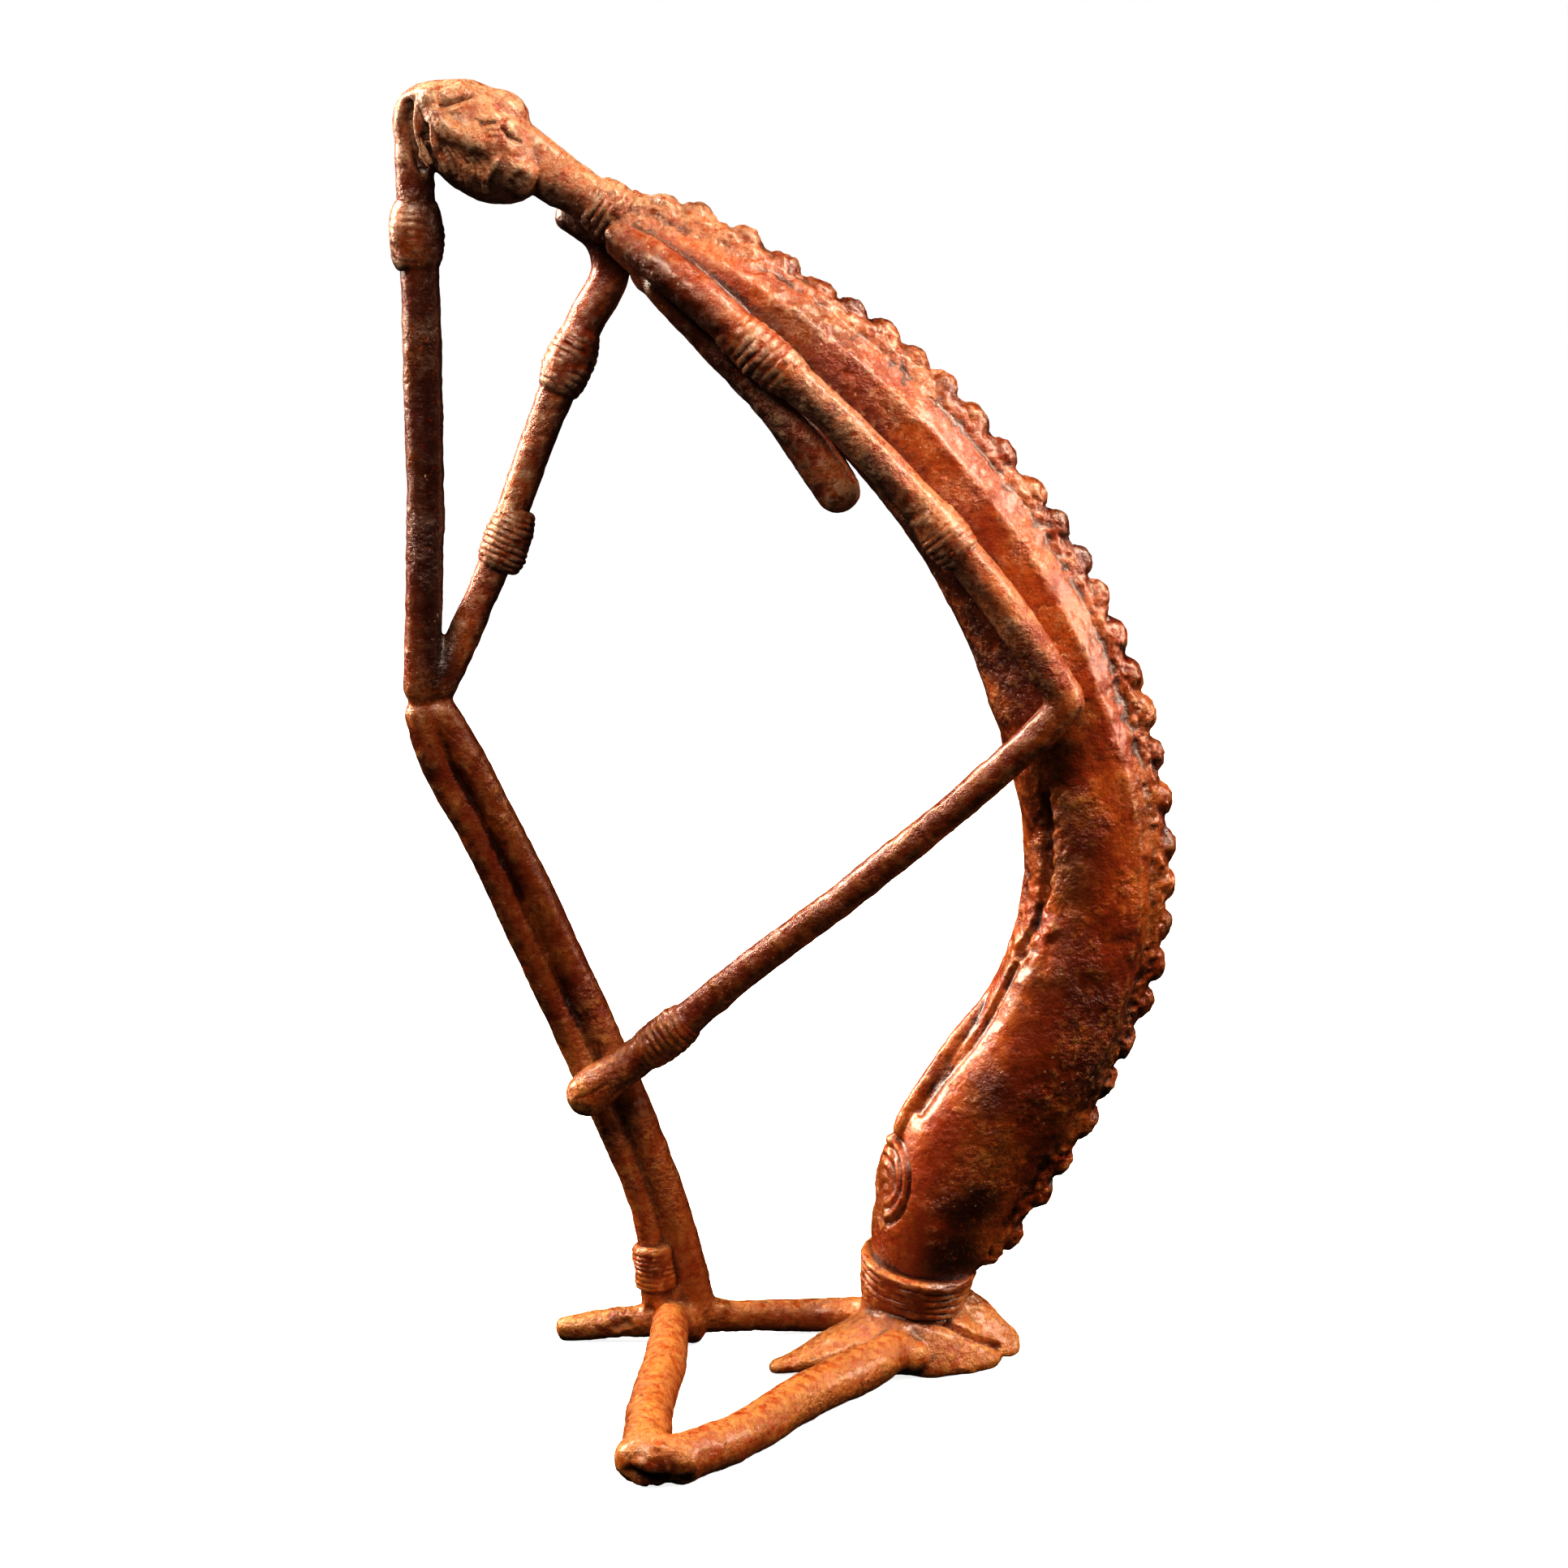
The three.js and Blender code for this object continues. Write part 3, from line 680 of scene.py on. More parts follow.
def ground_leg():
    """The leg that lies on the ground, out to the knee and back to its foot."""
    thigh = carry((
        (31, -6, 7.4, 3), (28.4, -12.4, 7, 4.2), (23.4, -20.4, 6.7, 5.1), (5.6, -39.6, 5.2, 5.4),
        (-11.8, -66.2, 5, 5.2), (-23, -77.4, 5.4, 5.4),
    ), (0, 0, 1))
    shin = carry((
        (-30.2, -76, 6, 5.4), (-30.1, -54.2, 6.8, 5.3), (-28, -25.8, 7.4, 5), (-27.4, 0, 8.6, 4.3),
    ), (0, 0, 1))
    knee = lump((-29.3, -77.5, 5.6), (7.7, 6.3, 6.1))
    hip = lump((28, -14.8, 5.4), (7, 5.4, 4.4))
    return [thigh, shin, knee, hip]


def breasts():
    """Two long breasts that hang from the chest, one each side."""
    return [carry((
        (-28, 4 * side, 256.4, 4.2), (-15.8, 5.8 * side, 244.4, 4.8), (-0.4, 7.6 * side, 228.2, 4.9),
        (8.2, 8.4 * side, 216.2, 5.3), (12.2, 8.8 * side, 210.3, 5.1),
    )) for side in (-1, 1)]


def coil(start, end, radius, pitch, relief, soft, bead, seed):
    """Wax thread wound side by side round a limb, worn so that the band swells like a barrel.

    The radius runs from its first value to its second over the share t of the length. The envelope
    is the root of 1 - |2 t - 1| ** soft, with one power for each half. The surface is the core and
    that envelope, less the relief where |cos(pi (turns t + a / 2 pi))| ** 0.6 falls. The two beads
    are lips at the ends.
    """
    start, end = np.array(start, float), np.array(end, float)
    length = np.linalg.norm(end - start)
    axis = (end - start) / length
    normal = unit(np.cross((0, 1, 0), axis))
    across = np.cross(axis, normal)
    turns = max(round(length / pitch), 3)
    rows = turns * 9
    sides = int(np.clip(2 * np.pi * max(radius) / 0.6, 48, 150))
    t = np.linspace(0, 1, rows)[:, None]
    radius = radius[0] + (radius[1] - radius[0]) * t
    angle = np.linspace(0, 2 * np.pi, sides, endpoint=False)[None, :]
    place = np.stack([t * length + 0 * angle, radius * np.cos(angle), radius * np.sin(angle)], axis=-1)
    wander = noise(place.reshape(-1, 3) / (1, 2.4, 2.4), 1.9, seed).reshape(rows, sides)
    wear = noise(place.reshape(-1, 3), 3.6, seed + 1).reshape(rows, sides)
    dents = noise(place.reshape(-1, 3), 1.3, seed + 2).reshape(rows, sides)
    power = np.where(t < 0.5, soft[0], soft[1])
    envelope = np.sqrt(np.clip(1 - np.abs(2 * t - 1) ** power, 0, 1))
    thread = np.abs(np.cos(np.pi * (turns * t + angle / (2 * np.pi) + 0.18 * wander))) ** 0.6
    relief = relief * np.clip(0.7 + 1.1 * wear, 0.1, 1.4)
    lips = bead[0] * np.exp(-((t * length / 1.5) ** 2)) + bead[1] * np.exp(-(((1 - t) * length / 1.5) ** 2))
    core = radius - BAND_SWELL
    size = core + (BAND_SWELL + lips - relief * (1 - thread) + 0.35 * wear + 0.2 * dents) * envelope
    centre = start + axis * (t * length)
    spoke = normal * np.cos(angle)[..., None] + across * np.sin(angle)[..., None]
    rings = centre[:, None] + size[..., None] * spoke
    close = [np.repeat(point[None, None], sides, axis=1) for point in (start, end)]
    return wrap(np.concatenate([close[0], rings, close[1]], axis=0))


def coils(relief):
    """Bracelets, anklet, necklace and collar.

    Each row holds both ends, the radius at each, the pitch, the share of the relief, the softness
    of both halves and the beads of both ends.
    """
    bands = (
        ((-46.6, 10.9, 246.6), (-53, 9.8, 231.4), (5.9, 5.9), 1.8, 0.8, (1.5, 2.6), (0, 0.3)),
        ((-62.2, 8.6, 204.8), (-67.3, 7.4, 190.4), (5.7, 5.7), 1.6, 1, (1.7, 3.4), (0, 0.3)),
        ((-84, 2.1, 275.6), (-84.1, 2.7, 259.6), (6.3, 6.3), 1.8, 0.4, (2, 2), (0.2, 0)),
        ((-13.6, -13.9, 248.5), (3.6, -15.8, 234.3), (5.9, 5.9), 2.3, 1.1, (1.8, 2.4), (0.2, 0.2)),
        ((31, -17.1, 207.3), (41.2, -17.9, 195), (5.7, 5.7), 1.8, 0.9, (2, 2), (0, 0)),
        ((-22.2, -5.1, 85.4), (-34.6, -2.9, 75.1), (5.5, 5.5), 1.9, 1, (3, 2), (0.3, 0)),
        ((-31.9, 8, 25.6), (-30.9, 8, 14), (5.4, 5.4), 1.3, 0.8, (7, 7), (0.6, 0.3)),
        ((-44.2, 0, 276.4), (-35.8, 0, 270.5), (6.8, 6.9), 2.1, 1.3, (2.2, 2.2), (0, 0)),
        ((30.6, 1, 11.4), (32.8, -1, 24.8), (12.6, 14.2), 2.1, 1.4, (3, 9), (0, 0.8)),
    )
    return [coil(*band[:4], relief * band[4], *band[5:], seed=20 + 3 * k) for k, band in enumerate(bands)]


def mesh_from(name, points, triangles):
    """A Blender mesh of whole arrays of points and triangles."""
    mesh = bpy.data.meshes.new(name)
    mesh.vertices.add(len(points))
    mesh.vertices.foreach_set("co", points.astype(np.float32).ravel())
    mesh.loops.add(triangles.size)
    mesh.loops.foreach_set("vertex_index", triangles.astype(np.int32).ravel())
    mesh.polygons.add(len(triangles))
    mesh.polygons.foreach_set("loop_start", np.arange(0, triangles.size, 3, dtype=np.int32))
    mesh.update(calc_edges=True)
    return mesh


def through(mesh, *modifiers):
    """The mesh after a stack of modifiers, each given as its type and its settings."""
    holder = bpy.data.objects.new("holder", mesh)
    bpy.context.collection.objects.link(holder)
    for kind, settings in modifiers:
        modifier = holder.modifiers.new(kind.title(), kind)
        for name, value in settings.items():
            setattr(modifier, name, value)
    depsgraph = bpy.context.evaluated_depsgraph_get()
    result = bpy.data.meshes.new_from_object(holder.evaluated_get(depsgraph))
    bpy.data.objects.remove(holder)
    bpy.data.meshes.remove(mesh)
    return result


def arrays_of(mesh):
    """Points, normals and edges of a mesh as arrays."""
    points = np.empty(len(mesh.vertices) * 3, np.float32)
    mesh.vertices.foreach_get("co", points)
    normals = np.empty(len(mesh.vertices) * 3, np.float32)
    mesh.vertex_normals.foreach_get("vector", normals)
    edges = np.empty(len(mesh.edges) * 2, np.int32)
    mesh.edges.foreach_get("vertices", edges)
    return points.reshape(-1, 3).astype(float), normals.reshape(-1, 3).astype(float), edges.reshape(-1, 2)


def blurred(values, edges, rounds):
    """Values on the vertices, each round mixed half and half with the mean of their neighbours."""
    first, second = edges.T
    count = np.maximum(np.bincount(edges.ravel(), minlength=len(values)), 1)
    for _ in range(rounds):
        columns = [
            np.bincount(first, column[second], len(values))
            + np.bincount(second, column[first], len(values))
            for column in values.T
        ]
        values = 0.5 * values + 0.5 * np.stack(columns, axis=1) / count[:, None]
    return values


def corners_of(mesh):
    """The triangles of a mesh as rows of three vertices."""
    mesh.calc_loop_triangles()
    corners = np.empty(len(mesh.loop_triangles) * 3, np.int32)
    mesh.loop_triangles.foreach_get("vertices", corners)
    return corners.reshape(-1, 3)


def cast_skin(points, shape):
    """How far the cast surface stands out at every point: uneven wax, rough crust, pits, strokes."""
    edge, _ = back_edge()
    crust = np.exp(-((away_from(points, edge[::12]) / 6.5) ** 2))
    knee = np.exp(-((np.linalg.norm(points - KNEE_ON_FLOOR, axis=1) / 8) ** 2))
    foot = np.exp(-((np.linalg.norm(points - FOOT_ON_FLOOR, axis=1) / 8) ** 2))
    rough = np.clip(crust + knee + 0.7 * foot, 0, 1)
    wavy = noise(points, 7, 1) + 0.7 * noise(points, 3.4, 2)
    fine = noise(points, 1.7, 3) + 0.6 * noise(points, 0.9, 4)
    pits = np.clip(noise(points, 1.5, 5) - 0.45, 0, 1) + 0.7 * np.clip(noise(points, 3.2, 6) - 0.5, 0, 1)
    height = shape.roughness * (wavy * (1 + 1.1 * rough) + fine * (0.5 + 1.6 * rough))
    return height - pits * (0.3 + 1.8 * rough) * shape.roughness * 2.6 + strokes(points)


def one_piece(mesh):
    """The largest connected part of a mesh, so that no pocket sealed inside the casting is left.

    Every vertex starts with its own label; linked vertices take the lower one until none changes.
    """
    points, _, edges = arrays_of(mesh)
    label = np.arange(len(points))
    changed = True
    while changed:
        before = label.copy()
        lower = np.minimum(label[edges[:, 0]], label[edges[:, 1]])
        for side in edges.T:
            np.minimum.at(label, label[side], lower)
            np.minimum.at(label, side, lower)
        label = label[label]
        changed = bool((label != before).any())
    kept = label == np.bincount(label).argmax()
    corners = corners_of(mesh)
    number = np.cumsum(kept) - 1
    bpy.data.meshes.remove(mesh)
    return mesh_from("casting", points[kept], number[corners[kept[corners[:, 0]]]])


def cast_mesh(shape):
    """The whole casting: soft wax forms run together, then the crisp ones, then the wound threads."""
    soft = [carry(body_stations(), section=fish, blunt=0.35)]
    soft += ridge() + neck() + head() + far_arm() + near_arm()
    soft += raised_leg() + ground_leg() + breasts() + fin()
    voxel = {"mode": "VOXEL", "voxel_size": shape.grain}
    smooth = {"factor": 0.5, "iterations": shape.fillet_rounds}
    wax = through(mesh_from("wax", *together(soft)), ("REMESH", voxel), ("SMOOTH", smooth))
    points, _, _ = arrays_of(wax)
    melted = (points, corners_of(wax))
    bpy.data.meshes.remove(wax)
    crisp = crest(shape.knobs) + belly() + fingers() + [carry(RIGHT_FLUKE, RIGHT_FLUKE_SIDE)]
    smooth = {"factor": 0.5, "iterations": CRISP_ROUNDS}
    cast = mesh_from("cast", *together([melted] + crisp))
    cast = through(cast, ("REMESH", voxel), ("SMOOTH", smooth))
    points, normals, _ = arrays_of(cast)
    points += normals * cast_skin(points, shape)[:, None]
    cast.vertices.foreach_set("co", points.astype(np.float32).ravel())
    cast.update()
    threads = bpy.data.objects.new("threads", mesh_from("threads", *together(coils(shape.thread_relief))))
    bpy.context.collection.objects.link(threads)
    before = len(cast.polygons)
    cast = through(cast, ("BOOLEAN", {"operation": "UNION", "solver": "MANIFOLD", "object": threads}))
    bpy.data.objects.remove(threads)
    if len(cast.polygons) <= before:
        raise RuntimeError("the wound threads did not join the casting")
    ratio = shape.faces / len(corners_of(cast))
    cast = through(cast, ("DECIMATE", {"ratio": min(1, ratio), "use_collapse_triangulate": True}))
    return one_piece(cast)


def into_frame(mesh):
    """Puts the mesh into the frame's metres, flat on the floor and inside the box of the solid."""
    points, _, _ = arrays_of(mesh)
    low, high = np.array(CAD_BOX[0]), np.array(CAD_BOX[1])
    points = np.clip((points + PLACE) * MM, low, high)
    mesh.vertices.foreach_set("co", points.astype(np.float32).ravel())
    mesh.update()


# Noises of the patina: features per metre, detail, roughness
GRAINS = {
    "mottle": (75, 6, 0.66),
    "speckle": (430, 5, 0.7),
    "crumbs": (620, 4, 0.62),
    "blotch": (38, 6, 0.65),
    "vein": (190, 6, 0.7),
    "patch": (50, 4, 0.6),
    "glint_grain": (900, 1, 0.5),
    "glint_patch": (55, 2, 0.5),
    "sand": (1300, 5, 0.7),
}

# Limbs painted paler: route in space, reach, share. Partly dust and partly painted light; down the far
# forearm's left edge, on the head's top and on the lower raised leg it is painted light.
DUST_AND_LIGHT_LIMBS = (
    (((-48, 11, 247), (-60, 9.6, 219), (-70, 7.4, 190)), 5.4, 0.6),
    # Painted lit edge down the far forearm's left side
    (((-88.4, 2, 276), (-88.6, 3.6, 180)), 3.4, 0.8),
    # The head's top: dust and painted light from above
    (((-82, 0, 301), (-72, 0, 302), (-62, 0, 296)), 10, 1),
    (((4, -16, 234), (16, -16.4, 223), (36, -17.4, 202), (52, -18.4, 182)), 6, 0.8),
    (((-43, 0, 277), (-36, 0, 272)), 8, 1),
    # The lower raised leg: painted light
    (((-46, 7, 76), (-40, 7, 60), (-29, 8, 30), (-24, 9, 12)), 8, 0.8),
    (((-27, 8, 7), (-40, 8, 5), (-56, 9, 3)), 7, 0.9),
)

# Dark places: centre, radius, share. Most are stains of the patina; the one on the mid flank and the one in
# the knee's hollow are painted shade.
STAINS = (
    ((44.8, -12, 40), 9, 1),
    ((41, -12, 28), 9, 1),
    ((50.4, -12, 69), 6.5, 0.6),
    ((71, -12, 95), 8, 0.7),
    # Painted shade on the mid flank
    ((66, -14, 124), 11, 0.5),
    # Painted shade in the knee's hollow
    ((-28, -84.4, 3.6), 5, 0.9),
    ((30, -13, 15), 7, 0.5),
    ((6, 13.5, 8), 5, 0.4),
    ((-32, 4, 21), 3, 0.5),
)

# Darker limbs: route in space, reach, share. On the far forearm's right half, on the raised leg under the
# forearm and hand, and at the shoulders the darkening is painted shade.
DARK_LIMBS = (
    # Painted shade on the far forearm's right half, beside its painted lit left edge
    (((-81.6, 2.4, 280), (-81.8, 4, 166)), 4.2, 0.95),
    # Painted shadow of the forearm and hand on the raised leg
    (((-84, 4, 160), (-78, 4, 150), (-52, 6, 92)), 6, 0.4),
    (((60, -18.8, 158), (16, -13, 118), (-28, -4, 80)), 5, 0.4),
    # Painted shade at the shoulders, under the head
    (((-47, 4, 270), (-38, 2, 262), (-28, -9, 256), (-12, -11, 243)), 5, 0.8),
)


def dark_share(points):
    """How dark the colour is made: along the dark limbs, which are partly painted shade, on the knobs'
    tops, and at the stains, two of which are painted shade.

    Noise makes the edges of the stains ragged.
    """
    ragged = points + 2.2 * np.stack([noise(points, 6, seed) for seed in (31, 32, 33)], axis=1)
    share = np.zeros(len(points))
    for route, reach, most in DARK_LIMBS:
        share = np.maximum(share, most * np.clip(2 - away_from(points, np.array(route)) / reach, 0, 1))
    edge, outwards = back_edge()
    tops = np.exp(-((away_from(points, (edge + 3.4 * outwards)[::12]) / 5) ** 4))
    share = np.maximum(share, tops * np.clip(0.4 + 0.7 * noise(points, 5, 34), 0, 0.8))
    for centre, radius, most in STAINS:
        away = np.linalg.norm(ragged - np.array(centre), axis=1) / radius
        share = np.maximum(share, most * np.exp(-(away**4)))
    return share


def dust_and_light_share(points):
    """How much pale dust each place gets, partly dust and partly painted light: near the floor, beside the
    knobs, on the head and along the listed limbs.
    """
    z = points[:, 2]
    edge, outwards = back_edge()
    # Near the floor: dust that also stands in for the light bounced up from the pale floor
    low = 0.8 * np.exp(-((z / 24) ** 2))
    high = 0.1 * np.clip((z - 150) / 60, 0, 1)
    back = np.exp(-((away_from(points, edge[::12]) / 5) ** 2))
    knobs = np.exp(-((away_from(points, (edge + 5 * outwards)[::12]) / 4.4) ** 2))
    # Beside the knobs: dust that is also painted light on the lit strip along the top of the back
    beside_knobs = 0.7 * np.interp(z, (60, 110), (0.3, 1)) * back * (1 - 0.75 * knobs)
    # On the head and the top of the shoulders: dust that is also painted light from above
    top = 0.9 * np.clip((z - 262) / 20, 0, 1)
    share = low + high + beside_knobs + top
    for route, reach, most in DUST_AND_LIGHT_LIMBS:
        share = np.maximum(share, most * np.exp(-((away_from(points, np.array(route)) / reach) ** 4)))
    return np.clip(share, 0, 1)


def mark(mesh):
    """Attributes for the patina, from 0 to 1 on every vertex.

    Near and far are how deep a vertex lies under the mean of its neighbourhood, over few and many
    rounds of blurring. They give the hollows, which get dark dirt and painted shade, and the high spots,
    worn pale and painted as highlights. The surface's slope gives what settles on top, and a painted
    shade on what faces the floor, weaker close to the pale floor as if lit by its bounce.
    """
    points, normals, edges = arrays_of(mesh)
    points = points / MM
    near = np.einsum("ij,ij->i", blurred(points, edges, NEAR_ROUNDS) - points, normals)
    far = np.einsum("ij,ij->i", blurred(points, edges, FAR_ROUNDS) - points, normals)
    depth = blurred((near / 0.07 + far / 0.5)[:, None], edges, 2)[:, 0]
    rise = blurred(-near[:, None], edges, 1)[:, 0]
    # Painted shade: faces turned to the floor and deep hollows, weakened near the floor as if lit by its
    # bounce
    below = np.clip(0.35 - normals[:, 2], 0, 1) + 0.5 * np.clip(far / 1.2, 0, 1)
    values = {
        "below": np.clip(below, 0, 1) * np.interp(points[:, 2], (8, 70), (0.1, 1)),
        "hollow": np.clip(depth, 0, 1),
        "worn": np.clip(rise / 0.1 - 0.7, 0, 1),
        "settled": np.clip(normals[:, 2], 0, 1),
        "dust_and_light": dust_and_light_share(points - PLACE),
        "dark": dark_share(points - PLACE),
    }
    for name, value in values.items():
        mesh.attributes.new(name, "FLOAT", "POINT").data.foreach_set("value", value.astype(np.float32))


def wire(tree, kind, sockets=None, **settings):
    """Adds a node; a socket's value is either a constant or another node's output."""
    node = tree.nodes.new(kind)
    for name, value in settings.items():
        setattr(node, name, value)
    for name, value in (sockets or {}).items():
        if isinstance(value, bpy.types.NodeSocket):
            tree.links.new(value, node.inputs[name])
        else:
            node.inputs[name].default_value = value
    return node


def ramp(tree, factor, low, high):
    """A factor stretched so that low becomes 0 and high becomes 1."""
    sockets = {"Value": factor, "From Min": low, "From Max": high}
    return wire(tree, "ShaderNodeMapRange", sockets, interpolation_type="SMOOTHSTEP").outputs["Result"]


def grain(tree, place, scale, detail, rough):
    """Noise over the surface, at a scale in features per metre."""
    sockets = {"Vector": place, "Scale": scale, "Detail": detail, "Roughness": rough}
    return wire(tree, "ShaderNodeTexNoise", sockets).outputs["Fac"]


def blend(tree, factor, low, high):
    """Two colours mixed by a factor."""
    node = wire(tree, "ShaderNodeMix", data_type="RGBA")
    for name, kind, value in (("Factor", "VALUE", factor), ("A", "RGBA", low), ("B", "RGBA", high)):
        socket = next(s for s in node.inputs if s.name == name and s.type == kind)
        if isinstance(value, bpy.types.NodeSocket):
            tree.links.new(value, socket)
        else:
            socket.default_value = value
    return next(s for s in node.outputs if s.type == "RGBA")


def maths(tree, operation, first, second, clamp=False):
    """One sum of two factors."""
    sockets = {0: first, 1: second}
    return wire(tree, "ShaderNodeMath", sockets, operation=operation, use_clamp=clamp).outputs[0]


def times(tree, first, second):
    """Product of two factors."""
    return maths(tree, "MULTIPLY", first, second)


def bumped(tree, height, strength, distance, under=None):
    """The normal after a bump, its distance in metres, laid over the bump under it if there is one."""
    sockets = {"Height": height, "Strength": strength, "Distance": distance}
    if under is not None:
        sockets["Normal"] = under
    return wire(tree, "ShaderNodeBump", sockets).outputs["Normal"]


def darkened(tree, colour, deep, marks, grains):
    """Stains, dark places that are partly painted shade, and painted shade on the undersides, laid over the
    browns.

    The darkening is the largest of a blotchy noise, the dark places broken up by specks, and the painted
    underside shade.
    """
    thinned = maths(tree, "SUBTRACT", 0.5, times(tree, marks["dust_and_light"], 0.4))
    stain_and_shade = times(tree, ramp(tree, grains["blotch"], 0.5, 0.64), thinned)
    dark = times(tree, marks["dark"], ramp(tree, grains["speckle"], 0.2, 0.45))
    stain_and_shade = maths(tree, "MAXIMUM", stain_and_shade, dark)
    # Painted shade on the undersides, broken up by a noise
    underside_shade = times(tree, ramp(tree, marks["below"], 0.1, 0.8), ramp(tree, grains["mottle"], 0.74, 0.42))
    stain_and_shade = maths(tree, "MAXIMUM", stain_and_shade, times(tree, underside_shade, 0.92))
    return blend(tree, stain_and_shade, colour, deep)


def powder_and_light_share(tree, marks, grains):
    """How much pale dust is painted on: in hollows, on top, and where dust and painted light are marked."""
    powder_and_light = maths(tree, "ADD", times(tree, marks["hollow"], 0.12), times(tree, marks["settled"], 0.06))
    coat = maths(tree, "ADD", 0.36, times(tree, marks["settled"], 0.6))
    powder_and_light = maths(tree, "ADD", powder_and_light, times(tree, marks["dust_and_light"], coat))
    powder_and_light = maths(tree, "SUBTRACT", powder_and_light, times(tree, marks["dark"], 0.6))
    return maths(tree, "MULTIPLY", powder_and_light, ramp(tree, grains["speckle"], 0.3, 0.62), True)


def rubbed_and_highlight_share(tree, marks, grains):
    """How pale the high spots are painted: worn to the metal, and standing in for the highlights on edges;
    less on the dark places.
    """
    rubbed_and_lit = times(tree, times(tree, marks["worn"], 0.6), ramp(tree, grains["speckle"], 0.36, 0.6))
    return times(tree, rubbed_and_lit, maths(tree, "SUBTRACT", 1, times(tree, marks["dark"], 0.8)))


def pale_share(tree, marks, grains):
    """Pale hairlines, where a noise crosses its middle, and patches of pale crumbs."""
    line = maths(tree, "ABSOLUTE", maths(tree, "SUBTRACT", grains["vein"], 0.5), 0)
    line = times(tree, ramp(tree, line, 0.014, 0.002), ramp(tree, grains["mottle"], 0.5, 0.62))
    crumb = times(tree, ramp(tree, grains["crumbs"], 0.56, 0.64), ramp(tree, grains["patch"], 0.46, 0.6))
    pale = maths(tree, "MAXIMUM", times(tree, line, 0.6), times(tree, crumb, 0.5))
    return times(tree, pale, maths(tree, "SUBTRACT", 1, times(tree, marks["dark"], 0.6)))


def grime_and_shade_share(tree, marks, grains):
    """Dark dirt and painted shade in the hollows, less where dust and painted light lie."""
    grime_and_shade = times(tree, ramp(tree, marks["hollow"], 0.3, 0.9), ramp(tree, grains["mottle"], 0.66, 0.42))
    return times(tree, grime_and_shade, maths(tree, "SUBTRACT", 0.85, times(tree, marks["dust_and_light"], 0.5)))


def patina(colours):
    """Rust-brown patina with painted light and shade, laid in coats from the browns to the painted glints.
    """
    material = bpy.data.materials.new("patina_and_painted_light")
    material.use_nodes = True
    tree = material.node_tree
    tree.nodes.clear()
    place = wire(tree, "ShaderNodeTexCoord").outputs["Object"]
    height = wire(tree, "ShaderNodeSeparateXYZ", {"Vector": place}).outputs["Z"]
    marks = {
        name: wire(tree, "ShaderNodeAttribute", attribute_name=name).outputs["Fac"]
        for name in ("hollow", "worn", "settled", "dust_and_light", "dark", "below")
    }
    grains = {name: grain(tree, place, *setting) for name, setting in GRAINS.items()}
    deep, buff = tuple(colours.deep), tuple(colours.buff)
    # Dust goes from ochre low down to paler peach higher up; the paler tops are partly painted light
    upper = ramp(tree, height, 0.12, 0.23)
    dust = blend(tree, upper, tuple(colours.ochre), tuple(colours.peach))
    # Pale colour of the worn spots and lines, also used as painted highlight on edges
    bare_and_lit = blend(tree, upper, dust, buff)
    powder_and_light = powder_and_light_share(tree, marks, grains)

    browns = ramp(tree, grains["mottle"], 0.42, 0.62)
    colour = blend(tree, browns, tuple(colours.rust), tuple(colours.amber))
    colour = darkened(tree, colour, deep, marks, grains)
    colour = blend(tree, powder_and_light, colour, dust)
    colour = blend(tree, rubbed_and_highlight_share(tree, marks, grains), colour, bare_and_lit)
    colour = blend(tree, pale_share(tree, marks, grains), colour, bare_and_lit)
    colour = blend(tree, times(tree, ramp(tree, grains["crumbs"], 0.42, 0.34), 0.4), colour, deep)
    colour = blend(tree, grime_and_shade_share(tree, marks, grains), colour, deep)
    # Painted glints: small pale specks in clusters, in the buff colour
    painted_glints = ramp(tree, grains["glint_grain"], 0.7, 0.75)
    painted_glints = times(tree, painted_glints, ramp(tree, grains["glint_patch"], 0.52, 0.62))
    colour = blend(tree, times(tree, painted_glints, 0.8), colour, buff)

    gloss = {"Value": grains["speckle"], "To Min": 0.14, "To Max": 0.42}
    rough = wire(tree, "ShaderNodeMapRange", gloss).outputs["Result"]
    matt = times(tree, powder_and_light, ramp(tree, height, 0.02, 0.1))
    rough = maths(tree, "ADD", rough, times(tree, matt, 0.16), True)

    stretched = wire(tree, "ShaderNodeMapping", {"Vector": place, "Scale": (220, 220, 1500)})
    scratch = grain(tree, stretched.outputs["Vector"], 1, 3, 0.6)
    crusty = maths(tree, "MAXIMUM", ramp(tree, grains["patch"], 0.46, 0.62), powder_and_light)
    crusty = maths(tree, "MAXIMUM", crusty, 0.25)
    crumbs = times(tree, ramp(tree, grains["crumbs"], 0.36, 0.6), crusty)
    normal = bumped(tree, grains["sand"], 0.35, 0.0004)
    normal = bumped(tree, scratch, 0.2, 0.0004, normal)
    normal = bumped(tree, times(tree, grains["speckle"], crusty), 0.5, 0.0011, normal)
    normal = bumped(tree, crumbs, 0.45, 0.0005, normal)
    shader = wire(tree, "ShaderNodeBsdfPrincipled", {
        "Base Color": colour, "Roughness": rough, "Normal": normal, "Specular IOR Level": 0.9,
        "Coat Weight": 0.3, "Coat Roughness": 0.16,
    })
    wire(tree, "ShaderNodeOutputMaterial", {"Surface": shader.outputs["BSDF"]})
    return material


